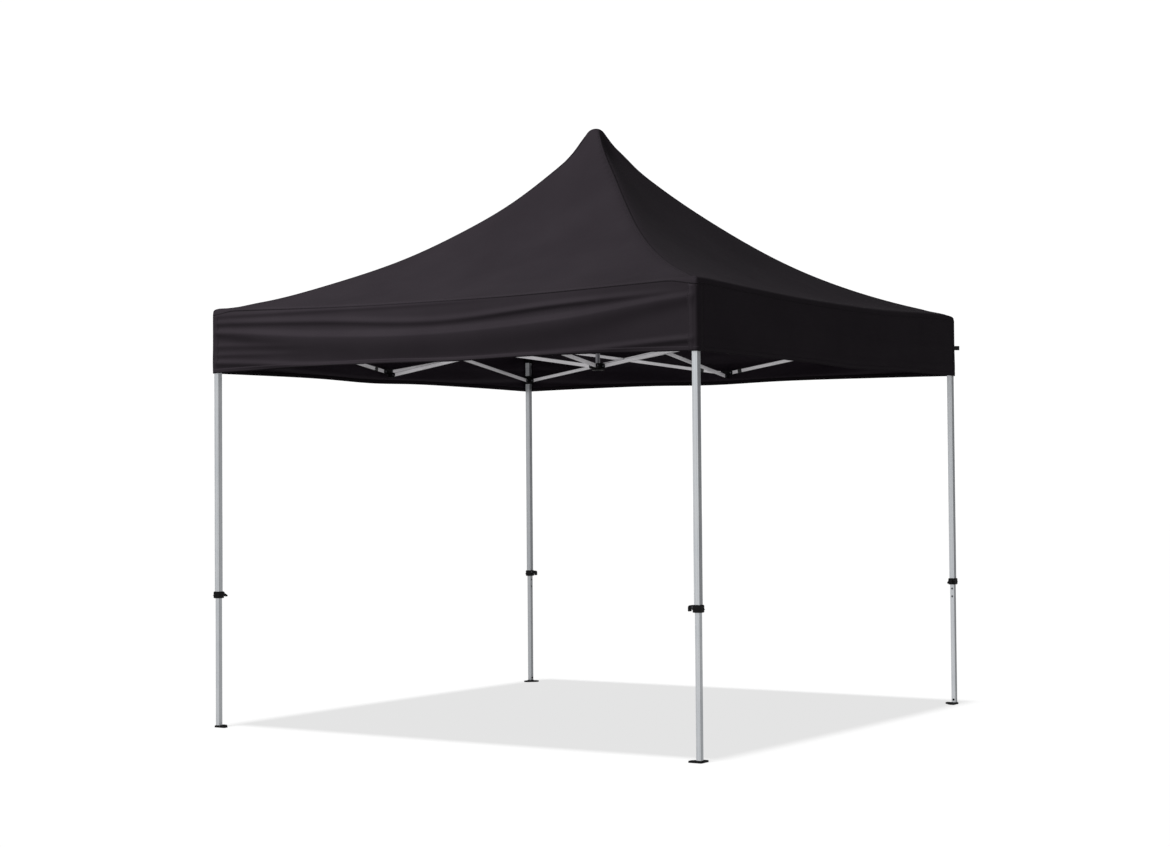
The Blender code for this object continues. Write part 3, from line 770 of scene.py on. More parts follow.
def grid_stations():
    """Distances from the middle to the eave, closer together at the crown and at the corners."""
    samples = 2000
    places = [COVER_HALF * step / samples for step in range(samples + 1)]
    total = [0.0]
    for place in places[1:]:
        density = 1 / GRID_STEP
        density += exp(-(((COVER_HALF - place) / CORNER_FADE) ** 2)) / CORNER_STEP
        density += exp(-((place / CROWN_FADE) ** 2)) / CROWN_STEP
        total.append(total[-1] + density * COVER_HALF / samples)
    count = round(total[-1])
    found = [0.0]
    index = 0
    for step in range(1, count):
        while total[index] < total[-1] * step / count:
            index += 1
        found.append(places[index])
    return found + [COVER_HALF]


def flat_cover():
    """The cover before it is shaped: a square grid, with the valance hanging below its edge as depth -1."""
    stations = grid_stations()
    count = len(stations) - 1
    flat = bmesh.new()
    bmesh.ops.create_grid(flat, x_segments=2 * count, y_segments=2 * count, size=count)
    middles = [(face, face.calc_center_median()) for face in flat.faces]
    for face in [face for face, middle in middles if abs(abs(middle.x) - abs(middle.y)) < 0.1]:
        by_reach = sorted(face.verts, key=lambda vert: abs(vert.co.x) + abs(vert.co.y))
        bmesh.ops.connect_verts(flat, verts=[by_reach[0], by_reach[-1]])
    for vert in flat.verts:
        vert.co.x = stations[round(abs(vert.co.x))] * (1 if vert.co.x > 0 else -1)
        vert.co.y = stations[round(abs(vert.co.y))] * (1 if vert.co.y > 0 else -1)
    rim = [edge for edge in flat.edges if edge.is_boundary]
    lower = new_verts(bmesh.ops.extrude_edge_only(flat, edges=rim))
    bmesh.ops.translate(flat, vec=(0, 0, -1), verts=lower)
    falls = upright_edges(flat, 0.5)
    bmesh.ops.subdivide_edges(flat, edges=falls, cuts=VALANCE_ROWS - 1, use_grid_fill=True)
    bmesh.ops.recalc_face_normals(flat, faces=flat.faces)
    top = max(flat.faces, key=lambda face: face.calc_center_median().z)
    if top.normal.z < 0:
        bmesh.ops.reverse_faces(flat, faces=flat.faces)
    return flat


VALANCE_DROP = EAVE_Z - HEM_Z


def lay_cloth_map(flat, from_hem=False):
    """A UV map in metres: U along the side, V down from the eave, or up from the hem."""
    layer = flat.loops.layers.uv.new("cloth")
    for face in flat.faces:
        middle = face.calc_center_median()
        side, _ = side_of(middle.x, middle.y)
        along_x = side in ("front", "back")
        for loop in face.loops:
            place = loop.vert.co
            along = place.x if along_x else place.y
            inward = COVER_HALF - abs(place.y if along_x else place.x)
            down = -place.z * VALANCE_DROP - inward
            loop[layer].uv = (along, VALANCE_DROP - down if from_hem else down)
    return flat


def shape_cover(flat):
    """Shapes the flat pattern into the cover."""
    for vert in flat.verts:
        vert.co = cover_point(vert.co.x, vert.co.y, -vert.co.z)
    flat.normal_update()
    return flat


def thicken(piece, thickness, offset, inner_slot=0):
    """Gives a sheet its thickness; its inside takes the material so many slots on."""
    wall = piece.modifiers.new("thickness", "SOLIDIFY")
    wall.thickness = thickness
    wall.offset = offset
    wall.material_offset = inner_slot
    return piece


CLOTH_THICKNESS = 0.0012
HEM_THICKNESS = 0.0026
EAVE_SEAM_THICKNESS = 0.0016
TAPE_THICKNESS = 0.0010
TAPE_LIFT = 0.0002


def kept_band(low_depth, high_depth, from_hem=False):
    """The rows of the valance between two depths, as a flat pattern with its cloth map."""
    band = flat_cover()
    lay_cloth_map(band, from_hem)
    outside = [face for face in band.faces if not low_depth < -face.calc_center_median().z < high_depth]
    bmesh.ops.delete(band, geom=outside, context="FACES")
    return band


def add_band(name, low_depth, high_depth, thickness, from_hem=False):
    """A stitched band all round the valance."""
    band = shape_cover(kept_band(low_depth, high_depth, from_hem))
    piece = add_piece(name, band, ["tape"], "cover", soft=True)
    return thicken(piece, thickness, -0.5)


def add_strip(name, surface, length, width, steps, place_on):
    """A tape laid on the cover: a narrow grid, placed by place_on and set down on the surface."""
    strip = bmesh.new()
    bmesh.ops.create_grid(strip, x_segments=steps, y_segments=4, size=0.5)
    layer = strip.loops.layers.uv.new("cloth")
    for face in strip.faces:
        for loop in face.loops:
            place = loop.vert.co
            loop[layer].uv = (place.x * length, (0.5 - abs(place.y)) * width)
    for vert in strip.verts:
        wanted = place_on(vert.co.x + 0.5, vert.co.y * width)
        spot, normal, _, _ = surface.find_nearest(wanted)
        vert.co = spot + normal * TAPE_LIFT
    strip.normal_update()
    piece = add_piece(name, strip, ["tape"], "cover", soft=True)
    return thicken(piece, TAPE_THICKNESS, -0.3)


HIP_TAPE_LENGTH = 2.2
HIP_TAPE_START = 0.045
HIP_TAPE_END = COVER_HALF - 0.012


def hip_strip_place(sign_x, sign_y):
    """Places along the tape that covers one hip seam, from the crown to the corner."""

    def place(share, across):
        reach = HIP_TAPE_START + (HIP_TAPE_END - HIP_TAPE_START) * share
        x = sign_x * (reach + across / sqrt(2))
        y = sign_y * (reach - across / sqrt(2))
        return cover_point(x, y, 0.0)

    return place


PATCH_TOP = 0.03
PATCH_SHARE = 0.965


def corner_patch_place(sign_x, sign_y):
    """Places on the reinforcement that wraps round one corner of the valance."""

    def place(share, across):
        x = COVER_HALF - max(0.0, across)
        y = COVER_HALF + min(0.0, across)
        return cover_point(sign_x * x, sign_y * y, PATCH_TOP + PATCH_SHARE * share)

    return place


GUY_LOOP_Z = 2.03
GUY_LOOP_WIDTH = 0.024
GUY_LOOP_THICKNESS = 0.0016
GUY_LOOP_REACH = 0.030
GUY_LOOP_RADIUS = 0.0045
GUY_LOOP_SEWN_IN = 0.006
GUY_LOOP_STEPS = 4


def guy_loop_shape():
    """A strap folded back on itself: two runs joined by a half turn, pointing out along +X."""
    strap = bmesh.new()
    half = GUY_LOOP_WIDTH / 2
    ends = [strap.verts.new((-GUY_LOOP_SEWN_IN, -GUY_LOOP_RADIUS, z)) for z in (-half, half)]
    edges = [strap.edges.new(ends)]
    turn_at = GUY_LOOP_REACH - GUY_LOOP_RADIUS
    step = (turn_at + GUY_LOOP_SEWN_IN) / GUY_LOOP_STEPS

    def run(edges, direction):
        """Draws the strap's end on, and gives its new end."""
        for _ in range(GUY_LOOP_STEPS):
            made = bmesh.ops.extrude_edge_only(strap, edges=edges)
            verts = new_verts(made)
            bmesh.ops.translate(strap, vec=(direction * step, 0, 0), verts=verts)
            edges = [edge for edge in strap.edges if set(edge.verts) <= set(verts)]
        return edges

    edges = run(edges, 1)
    made = bmesh.ops.spin(
        strap,
        geom=edges + [vert for edge in edges for vert in edge.verts],
        cent=(turn_at, 0, 0),
        axis=(0, 0, 1),
        angle=pi,
        steps=2 * GUY_LOOP_STEPS,
    )["geom_last"]
    run([item for item in made if isinstance(item, bmesh.types.BMEdge)], -1)
    bmesh.ops.recalc_face_normals(strap, faces=strap.faces)
    return set_uv_map(strap, "cloth", lambda place: (place.x + place.y, place.z))


class CoverSettings(bpy.types.PropertyGroup):
    """Sizes and colours of the fabric cover."""

    seam_width: FloatProperty(
        name="Seam width", description="Width of the tapes over the hip seams", default=0.022, unit="LENGTH"
    )
    dark_shade: FloatVectorProperty(
        name="Dark shade",
        description="Darker shade of the dyed cloth",
        default=colour("#312c31")[:3],
        subtype="COLOR",
        size=3,
    )
    light_shade: FloatVectorProperty(
        name="Light shade",
        description="Lighter shade of the dyed cloth",
        default=colour("#353035")[:3],
        subtype="COLOR",
        size=3,
    )


class FrameSettings(bpy.types.PropertyGroup):
    """Sizes of the frame's visible detail."""

    groove_depth: FloatProperty(
        name="Groove depth",
        description="Depth of the grooves along the leg tubes",
        default=0.0006,
        unit="LENGTH",
    )


class StudioSettings(bpy.types.PropertyGroup):
    """Light of the studio."""

    overhead_strength: FloatProperty(
        name="Overhead light", description="Strength of the light that casts the soft shadow", default=22.0
    )
    cover_power: FloatProperty(
        name="Cover light",
        description="Power of the soft box that lights the cover",
        default=205.0,
        unit="POWER",
    )
    frame_strength: FloatProperty(
        name="Frame light", description="Strength of the lights that reach only the frame", default=0.8
    )
    floor_colour: FloatVectorProperty(
        name="Floor colour",
        description="Colour of the studio floor",
        default=colour("#333333")[:3],
        subtype="COLOR",
        size=3,
    )


# The cover is sewn from four gores, each as wide as a side; the signs of X and Y at each of its corners, in the
# order of CORNERS
CORNER_SIGNS = ((-1, -1), (1, -1), (1, 1), (-1, 1))


class GAZEBO_OT_cover(bpy.types.Operator):
    """Adds the fabric cover: one sheet of roof and valances, with its hem, seams and corner patches"""

    bl_idname = "gazebo.cover"
    bl_label = "Cover"

    def execute(self, context):
        seam_width = context.scene.gazebo_cover.seam_width
        sheet = shape_cover(lay_cloth_map(flat_cover()))
        surface = BVHTree.FromBMesh(sheet)
        area = sum(face.calc_area() for face in sheet.faces)
        nodes = ["roof"] + [f"{side}_valance" for side in SIDES]
        canopy = add_piece("canopy", sheet, ["cloth", "coating"], "cover", nodes, soft=True)
        thicken(canopy, CLOTH_THICKNESS, -1.0, 1)
        row = 1 / VALANCE_ROWS
        trim = [
            add_band("hem", 1 - HEM_ROWS * row, 1.0, HEM_THICKNESS, from_hem=True),
            add_band("eave_seam", 0.0, row, EAVE_SEAM_THICKNESS),
        ]
        for corner, signs in zip(CORNERS, CORNER_SIGNS):
            for name, length, width, steps, place in (
                ("hip_seam", HIP_TAPE_LENGTH, seam_width, 90, hip_strip_place(*signs)),
                ("corner_patch", VALANCE_DROP, CORNER_PATCH_WIDTH, 30, corner_patch_place(*signs)),
            ):
                trim.append(add_strip(f"{name}_{corner}", surface, length, width, steps, place))
        return {"FINISHED"}


class GAZEBO_OT_guy_loop(bpy.types.Operator):
    """Adds the webbing loop for a guy line at the back right corner"""

    bl_idname = "gazebo.guy_loop"
    bl_label = "Guy loop"

    def execute(self, context):
        corner = round_plan(COVER_HALF, COVER_HALF)[0]
        place = Matrix.Translation((*corner, GUY_LOOP_Z)) @ Matrix.Rotation(radians(45), 4, "Z")
        strap = moved(guy_loop_shape(), place)
        loop = add_piece("guy_loop", strap, ["webbing"], "cover", soft=True)
        thicken(loop, GUY_LOOP_THICKNESS, 0.0)
        return {"FINISHED"}


UPPER_TUBE_WIDTH = 0.030
LOWER_TUBE_WIDTH = 0.0248
UPPER_TUBE_ROUNDING = 0.002
LOWER_TUBE_ROUNDING = 0.0018
TUBE_WALL = 0.0015
# Where the two grooves of a face lie and how wide they are, as shares of the tube's half width
GROOVE_AT = 0.48
GROOVE_HALF_WIDTH = 0.07
GROOVE_SLOPE = 0.0003
PIN_HOLE_HEIGHTS = (0.613, 0.657)
PIN_HOLE_RADIUS = 0.0055
# How far parts that touch run into each other, so that no gap shows
OVERLAP = 0.0005
# How far a tool that cuts right through stands out of the shape that it cuts
TOOL_EXCESS = 0.02
BORE_ROUNDING = 0.002
TUBE_PLAY = 0.0003


def square_tube(width, low, high, rounding, groove_depth):
    """A square tube along Z with rounded edges and two shallow grooves down each face."""
    half = width / 2
    tube = square_block(half, low, high)
    ends = [face for face in tube.faces if abs(face.normal.z) > 0.5]
    bmesh.ops.delete(tube, geom=ends, context="FACES_ONLY")
    round_edges(tube, upright_edges(tube, 0.5 * (high - low)), rounding, 3)
    groove_at = half * GROOVE_AT
    groove_half = half * GROOVE_HALF_WIDTH
    for normal in ((1, 0, 0), (0, 1, 0)):
        for sign in (-1, 1):
            for side in (-1, 1):
                bmesh.ops.bisect_plane(
                    tube,
                    geom=tube.verts[:] + tube.edges[:] + tube.faces[:],
                    plane_co=Vector(normal) * (sign * groove_at + side * groove_half),
                    plane_no=normal,
                )
    strips = []
    for face in tube.faces:
        middle = face.calc_center_median()
        across = middle.y if abs(face.normal.x) > 0.9 else middle.x
        flat = max(abs(face.normal.x), abs(face.normal.y)) > 0.99
        if flat and abs(abs(across) - groove_at) < groove_half:
            strips.append(face)
    bmesh.ops.inset_region(
        tube, faces=strips, thickness=GROOVE_SLOPE, depth=-groove_depth, use_boundary=False
    )
    bmesh.ops.solidify(tube, geom=tube.faces[:], thickness=TUBE_WALL)
    return tube


def lay_length_map(shape, axis=2):
    """A UV map in metres whose U runs along the shape's length."""
    one, other = (item for item in range(3) if item != axis)
    return set_uv_map(shape, "length", lambda place: (place[axis], place[one] + place[other]))


class GAZEBO_OT_legs(bpy.types.Operator):
    """Adds the four telescopic legs: an upper and a lower tube each"""

    bl_idname = "gazebo.legs"
    bl_label = "Legs"

    def execute(self, context):
        depth = context.scene.gazebo_frame.groove_depth
        half = LOWER_TUBE_WIDTH / 2
        for index, corner in enumerate(CORNERS):
            low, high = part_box(f"upper_leg_{corner}")
            upper = square_tube(UPPER_TUBE_WIDTH, low.z, high.z, UPPER_TUBE_ROUNDING, depth)
            upper = lay_length_map(upper)
            add_leg_piece(index, "upper_tube", upper, ["leg"], "leg", "upper_leg")
            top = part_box(f"lower_leg_{corner}")[1].z
            lower = square_tube(LOWER_TUBE_WIDTH, FOOT_THICKNESS - OVERLAP, top, LOWER_TUBE_ROUNDING, depth)
            drills = [
                rod(PIN_HOLE_RADIUS, (0, half - 3 * TUBE_WALL, z), (0, half + TOOL_EXCESS / 2, z))
                for z in PIN_HOLE_HEIGHTS
            ]
            lower = lay_length_map(cut_away(lower, drills))
            add_leg_piece(index, "lower_tube", lower, ["leg"], "lower_leg", "lower_leg")
        return {"FINISHED"}


def hex_bolt(across, height, start, direction):
    """A hexagon head whose seat is at start, with its top edge rounded."""
    start = Vector(start)
    return rod(across / 2 / cos(pi / 6), start, start + Vector(direction) * height, sides=6, edge=0.0006)


FOOT_OUTER = -0.018
FOOT_SIDE = 0.070
FOOT_CUT = 0.0441
FOOT_THICKNESS = 0.009
FOOT_CORNER_ROUNDING = 0.004
FOOT_RIM_ROUNDING = 0.002
PEG_HOLES = ((0.036, -0.004), (-0.004, 0.036))
PEG_HOLE_RADIUS = 0.0055
SOCKET_TOP = 0.0115
SOCKET_PLAY = 0.0004
SOCKET_WALL = 0.002
FOOT_BOLT_Z = 0.026
FOOT_BOLT_WIDTH = 0.010
FOOT_BOLT_HEIGHT = 0.0045
FOOT_WASHER_RADIUS = 0.0065
FOOT_WASHER_THICKNESS = 0.001


def foot_shape():
    """A plate under the leg with a cut corner and two peg holes, a low socket, and a bolt in the tube."""
    inner = FOOT_OUTER + FOOT_SIDE
    plate = block((FOOT_OUTER, FOOT_OUTER, 0.0), (inner, inner, FOOT_THICKNESS))
    cut = [edge for edge in plate.edges if all(min(vert.co.xy) > inner - TOUCH for vert in edge.verts)]
    round_edges(plate, cut, FOOT_CUT, 1)
    round_edges(plate, upright_edges(plate), FOOT_CORNER_ROUNDING, 3)
    rims = [
        edge
        for edge in sharp_edges(plate, 0.5)
        if min(vert.co.z for vert in edge.verts) > FOOT_THICKNESS - TOUCH
    ]
    round_edges(plate, rims, FOOT_RIM_ROUNDING, 3)
    drills = [rod(PEG_HOLE_RADIUS, (*spot, -0.01), (*spot, TOOL_EXCESS)) for spot in PEG_HOLES]
    plate = cut_away(plate, drills)
    half = LOWER_TUBE_WIDTH / 2 + SOCKET_PLAY
    socket = square_block(half + SOCKET_WALL, FOOT_THICKNESS - OVERLAP, SOCKET_TOP, 0.0015)
    socket = cut_away(socket, [square_block(half, 0.0, 0.05, BORE_ROUNDING)])
    side = LOWER_TUBE_WIDTH / 2 - 0.0002
    bolt = hex_bolt(FOOT_BOLT_WIDTH, FOOT_BOLT_HEIGHT, (0, side, FOOT_BOLT_Z), (0, 1, 0))
    washer_end = (0, side + FOOT_WASHER_THICKNESS, FOOT_BOLT_Z)
    washer = rod(FOOT_WASHER_RADIUS, (0, side, FOOT_BOLT_Z), washer_end, edge=0.0003)
    return joined([plate, socket, bolt, washer])


class GAZEBO_OT_feet(bpy.types.Operator):
    """Adds the foot plates with their peg holes and bolts"""

    bl_idname = "gazebo.feet"
    bl_label = "Feet"

    def execute(self, context):
        for index in range(4):
            add_leg_piece(index, "foot", foot_shape(), ["plate"], "lower_leg", "lower_leg")
        return {"FINISHED"}


CLIP_WIDTH = 0.042
CLIP_ROUNDING = 0.005
CLIP_LEDGE = 0.010
CLIP_LIP = (0.012, 0.017)
CLIP_LIP_OUT = 0.0012
LEVER_WIDTH = 0.026
LEVER_TAPER = 0.18
LEVER_THICKNESS = 0.009
LEVER_SLOPE = 0.45
LEVER_LENGTH = 0.046
LEVER_ROWS = 14
# The levers that are swung out run level, and then turn down to a finger hook
HOOKED_LEVERS = ("front_right", "back_left")
HOOK_LEVEL = 0.020
HOOK_RADIUS = 0.012
HOOK_DROP = 0.017
# The ears beside the lever: their nearer and farther side from it, and how far they reach in and out
EAR_SIDES = (0.0008, 0.0038)
EAR_IN = 0.006
EAR_OUT = 0.007
LEVER_PIN_RADIUS = 0.0028


def lever_shape(hooked):
    """The clip's cam lever, along +Y from the collar's face: straight and sloping, or level with a hook."""
    lever = bmesh.new()
    bmesh.ops.create_grid(lever, x_segments=2, y_segments=LEVER_ROWS, size=0.5)
    arc = HOOK_RADIUS * pi / 2
    for vert in lever.verts:
        share = vert.co.y + 0.5
        if hooked:
            reach = share * (HOOK_LEVEL + arc + HOOK_DROP)
            turn = min(pi / 2, max(0.0, (reach - HOOK_LEVEL) / HOOK_RADIUS))
            y = min(reach, HOOK_LEVEL) + HOOK_RADIUS * sin(turn)
            z = -HOOK_RADIUS * (1 - cos(turn)) - max(0.0, reach - HOOK_LEVEL - arc)
        else:
            y = share * LEVER_LENGTH * cos(LEVER_SLOPE)
            z = -share * LEVER_LENGTH * sin(LEVER_SLOPE)
        vert.co = (vert.co.x * LEVER_WIDTH * (1 - LEVER_TAPER * share), y, z)
    lever.normal_update()
    if lever.faces[:][0].normal.z < 0:
        bmesh.ops.reverse_faces(lever, faces=lever.faces)
    bmesh.ops.solidify(lever, geom=lever.faces[:], thickness=LEVER_THICKNESS)
    bmesh.ops.recalc_face_normals(lever, faces=lever.faces)
    round_edges(lever, sharp_edges(lever), 0.0015, 2)
    return lever


class GAZEBO_OT_clips(bpy.types.Operator):
    """Adds the collars with cam levers that lock the telescopic legs"""

    bl_idname = "gazebo.clips"
    bl_label = "Leg clips"

    def execute(self, context):
        half = CLIP_WIDTH / 2
        bore = UPPER_TUBE_WIDTH / 2 + TUBE_PLAY
        lower_bore = LOWER_TUBE_WIDTH / 2 + TUBE_PLAY
        for index, corner in enumerate(CORNERS):
            low, high = (point.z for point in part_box(f"clip_{corner}"))
            bores = [
                square_block(bore, low + CLIP_LEDGE, high + TOOL_EXCESS, BORE_ROUNDING),
                square_block(lower_bore, low - TOOL_EXCESS, high, BORE_ROUNDING),
            ]
            collar = cut_away(square_block(half, low, high, CLIP_ROUNDING, 3), bores)
            lip_low, lip_high = (low + height for height in CLIP_LIP)
            lip = square_block(half + CLIP_LIP_OUT, lip_low, lip_high, 0.002)
            lip = cut_away(lip, [square_block(bore, 0.0, 1.0)])
            root = Vector((0.0, half - 0.003, high - 0.002))
            lever = moved(lever_shape(corner in HOOKED_LEVERS), Matrix.Translation(root))
            ears = []
            for side in (-1, 1):
                near, far = sorted(side * (LEVER_WIDTH / 2 + distance) for distance in EAR_SIDES)
                low_corner = (near, half - EAR_IN, high - 0.020)
                ears.append(block(low_corner, (far, half + EAR_OUT, high - 0.003), 0.0014))
            pin_ends = [(sign * (LEVER_WIDTH / 2 + 0.0045), half + 0.002, high - 0.010) for sign in (-1, 1)]
            pin = rod(LEVER_PIN_RADIUS, *pin_ends, edge=0.0006)
            shape = in_slots((collar, lip, lever, *ears), (pin,))
            add_leg_piece(index, "leg_clip", shape, ["nylon", "zinc"], "leg", "clip")
        return {"FINISHED"}


CHEEK_END_ROUNDING = 0.0095
CHEEK_RIM_ROUNDING = 0.0009
FORK_PIN_RADIUS = 0.004
FORK_HEAD_RADIUS = 0.0068
FORK_HEAD_HEIGHT = 0.0016
FORK_NUT_WIDTH = 0.009
FORK_NUT_HEIGHT = 0.0034


def cheek(low_x, high_x, near, far, height):
    """One cheek of a fork: a plate along X whose far end is round."""
    plate = block((low_x, near, height - CHEEK_DOWN), (high_x, far, height + CHEEK_UP))
    end = [
        edge
        for edge in plate.edges
        if abs(edge.verts[0].co.y - edge.verts[1].co.y) > TOUCH
        and all(vert.co.x > high_x - TOUCH for vert in edge.verts)
    ]
    round_edges(plate, end, CHEEK_END_ROUNDING, 5)
    round_edges(plate, sharp_edges(plate), CHEEK_RIM_ROUNDING, 2)
    return plate


def add_fork(plastic, metal, place, pivot, plane, height, root):
    """Adds a fork to two lists: the cheeks along +X that hold a bar's end; a pin, its head and its nut."""
    near = plane - BAR_THICKNESS / 2 - CHEEK_GAP
    far = plane + BAR_THICKNESS / 2 + CHEEK_GAP
    outer_near = near - CHEEK_THICKNESS
    outer_far = far + CHEEK_THICKNESS
    reach = pivot + CHEEK_REACH
    for low, high in ((outer_near, near), (far, outer_far)):
        plastic.append(moved(cheek(root, reach, low, high, height), place))
    head = ((pivot, outer_near - FORK_HEAD_HEIGHT, height), (pivot, outer_near + OVERLAP, height))
    for part in (
        rod(FORK_PIN_RADIUS, (pivot, outer_near, height), (pivot, outer_far, height)),
        rod(FORK_HEAD_RADIUS, *head, edge=0.0009),
        hex_bolt(FORK_NUT_WIDTH, FORK_NUT_HEIGHT, (pivot, outer_far - 0.0003, height), (0, 1, 0)),
    ):
        metal.append(moved(part, place))


BRACKET_HALF = 0.0195
BRACKET_CORNER = 0.008
BRACKET_TOP_ROUNDING = 0.010
BRACKET_EDGE_ROUNDING = 0.0015
BRACKET_BAND = (0.006, 0.011)
BAND_OUT = 0.0008
BRACKET_SCREW_RISE = 0.030
BRACKET_SCREW_RADIUS = 0.0045
SLIDER_PLAY = 0.0005
# The slider's spring button: where each step starts, its radius and where it ends, from the slider's face
BUTTON_STEPS = ((-0.001, 0.0065, 0.003), (0.002, 0.0048, 0.0065))
BUTTON_Y = -0.0105


def leg_fork_parts(plane, height):
    """Forks along +X and +Y for the two sides that meet at a leg."""
    plastic = []
    metal = []
    for place in (Matrix.Identity(4), SWAP_X_AND_Y):
        add_fork(plastic, metal, place, LEG_TO_PIVOT, plane, height, BRACKET_HALF - 0.002)
    return plastic, metal


def bracket_body(low, high, bore, top_rounding):
    """A square moulded sleeve round the leg with rounded uprights and a softer top edge."""
    body = square_block(BRACKET_HALF, low, high)
    round_edges(body, upright_edges(body), BRACKET_CORNER, 4)
    for level, rounding in ((high, top_rounding), (low, BRACKET_EDGE_ROUNDING)):
        rims = [edge for edge in body.edges if all(abs(vert.co.z - level) < TOUCH for vert in edge.verts)]
        round_edges(body, rims, rounding, 3)
    return cut_away(body, [bore])


def band_round_leg(low, high):
    """A raised rib round a bracket."""
    rib = square_block(BRACKET_HALF + BAND_OUT, low, high)
    round_edges(rib, upright_edges(rib), BRACKET_CORNER, 4)
    round_edges(rib, sharp_edges(rib), 0.0008, 2)
    return cut_away(rib, [square_block(UPPER_TUBE_WIDTH / 2 + 0.001, low - TOOL_EXCESS, high + TOOL_EXCESS)])


class GAZEBO_OT_leg_brackets(bpy.types.Operator):
    """Adds the top brackets and the sliders that carry the scissor bars on each leg"""

    bl_idname = "gazebo.leg_brackets"
    bl_label = "Leg brackets and sliders"

    def execute(self, context):
        finishes = ["nylon", "zinc"]
        for index, corner in enumerate(CORNERS):
            low, high = (point.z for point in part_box(f"top_bracket_{corner}"))
            bore_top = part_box(f"upper_leg_{corner}")[1].z + TUBE_PLAY
            bore = square_block(UPPER_TUBE_WIDTH / 2 + TUBE_PLAY, low - TOOL_EXCESS, bore_top, BORE_ROUNDING)
            plastic, metal = leg_fork_parts(-BAR_PLANE, UPPER_PIVOT_Z)
            plastic.append(bracket_body(low, high, bore, BRACKET_TOP_ROUNDING))
            plastic.append(band_round_leg(*(low + rise for rise in BRACKET_BAND)))
            screw_z = low + BRACKET_SCREW_RISE
            screw_ends = ((0.0, BRACKET_HALF - 0.001, screw_z), (0.0, BRACKET_HALF + 0.0012, screw_z))
            metal.append(rod(BRACKET_SCREW_RADIUS, *screw_ends, edge=0.0006))
            shape = in_slots(plastic, metal)
            add_leg_piece(index, "bracket", shape, finishes, "leg", "top_bracket")

            low, high = (point.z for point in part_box(f"slider_{corner}"))
            half = UPPER_TUBE_WIDTH / 2 + SLIDER_PLAY
            bore = square_block(half, low - TOOL_EXCESS, high + TOOL_EXCESS, BORE_ROUNDING)
            plastic, metal = leg_fork_parts(BAR_PLANE, LOWER_PIVOT_Z)
            plastic.append(bracket_body(low, high, bore, BRACKET_EDGE_ROUNDING))
            for start, radius, end in BUTTON_STEPS:
                ends = [(BRACKET_HALF + out, BUTTON_Y, (low + high) / 2) for out in (start, end)]
                plastic.append(rod(radius, *ends, edge=0.0008))
            shape = in_slots(plastic, metal)
            add_leg_piece(index, "sliding_bracket", shape, finishes, "slider", "slider")
        return {"FINISHED"}


BAR_ROUNDING = 0.0026
RIVET_RADIUS = 0.0075
RIVET_PIN_RADIUS = 0.004
RIVET_HEAD = 0.0018
RIVET_TAIL = 0.0016
SPACER_RADIUS = 0.009
BUMP_STOP_HALF = 0.013
BUMP_STOP_WALL = 0.0022


def bar_shape():
    """A flat tube with round ends, on edge: along +X from its first pivot, with its middle plane at Y = 0."""
    bar = bmesh.new()
    bmesh.ops.create_circle(bar, cap_ends=True, segments=20, radius=BAR_HEIGHT / 2)
    far_end = [vert for vert in bar.verts if vert.co.x > TOUCH]
    bmesh.ops.translate(bar, vec=(BAR_LENGTH, 0, 0), verts=far_end)
    raised = new_verts(bmesh.ops.extrude_face_region(bar, geom=bar.faces[:]))
    bmesh.ops.translate(bar, vec=(0, 0, BAR_THICKNESS), verts=raised)
    bmesh.ops.translate(bar, vec=(0, 0, -BAR_THICKNESS / 2), verts=bar.verts)
    bmesh.ops.recalc_face_normals(bar, faces=bar.faces)
    round_edges(bar, sharp_edges(bar, 1.2), BAR_ROUNDING, 3)
    bmesh.ops.rotate(bar, cent=(0, 0, 0), matrix=Matrix.Rotation(pi / 2, 3, "X"), verts=bar.verts)
    return lay_length_map(bar, 0)


def rivet_parts():
    """The spacer and the rivet in the middle of a bar, which pass through its partner on the +Y side."""
    face = BAR_THICKNESS / 2
    partner_near = 2 * BAR_PLANE - face - CHEEK_GAP
    partner_far = 2 * BAR_PLANE + face + CHEEK_GAP

    def across(radius, near, far, edge=0.0):
        return rod(radius, (BAR_LENGTH / 2, near, 0), (BAR_LENGTH / 2, far, 0), edge=edge)

    spacer = across(SPACER_RADIUS, face - 0.0002, partner_near, 0.0006)
    metal = [
        across(RIVET_RADIUS, -face - RIVET_HEAD, -face + OVERLAP, 0.0012),
        across(RIVET_PIN_RADIUS, 0, partner_far),
        across(RIVET_RADIUS, partner_far - 0.0002, partner_far + RIVET_TAIL, 0.0010),
    ]
    return [spacer], metal


def bump_stop(distance):
    """A moulded sleeve round a bar, some way from its first pivot."""
    half = Vector((BUMP_STOP_HALF, BAR_THICKNESS / 2 + BUMP_STOP_WALL, BAR_HEIGHT / 2 + BUMP_STOP_WALL))
    middle = Vector((distance, 0, 0))
    return block(middle - half, middle + half, 0.0022)


# Bars with a bump stop, and how far along it is from the lower connector
BUMP_STOPS = {
    "front_bar_1_rising": 0.08,
    "front_bar_2_rising": 0.06,
    "right_bar_1_rising": 0.045,
    "right_bar_2_rising": 0.06,
    "back_bar_1_rising": 0.060,
    "back_bar_2_rising": 0.145,
    "left_bar_2_rising": 0.080,
}


def bar_matrix(index, start, turn, tilt):
    """Where a bar lies: its first pivot in the side's own frame, its turn about Z and its tilt."""
    turn_matrix = Matrix.Rotation(turn, 4, "Z") @ Matrix.Rotation(tilt, 4, "Y")
    return side_turn(index) @ Matrix.Translation(start) @ turn_matrix


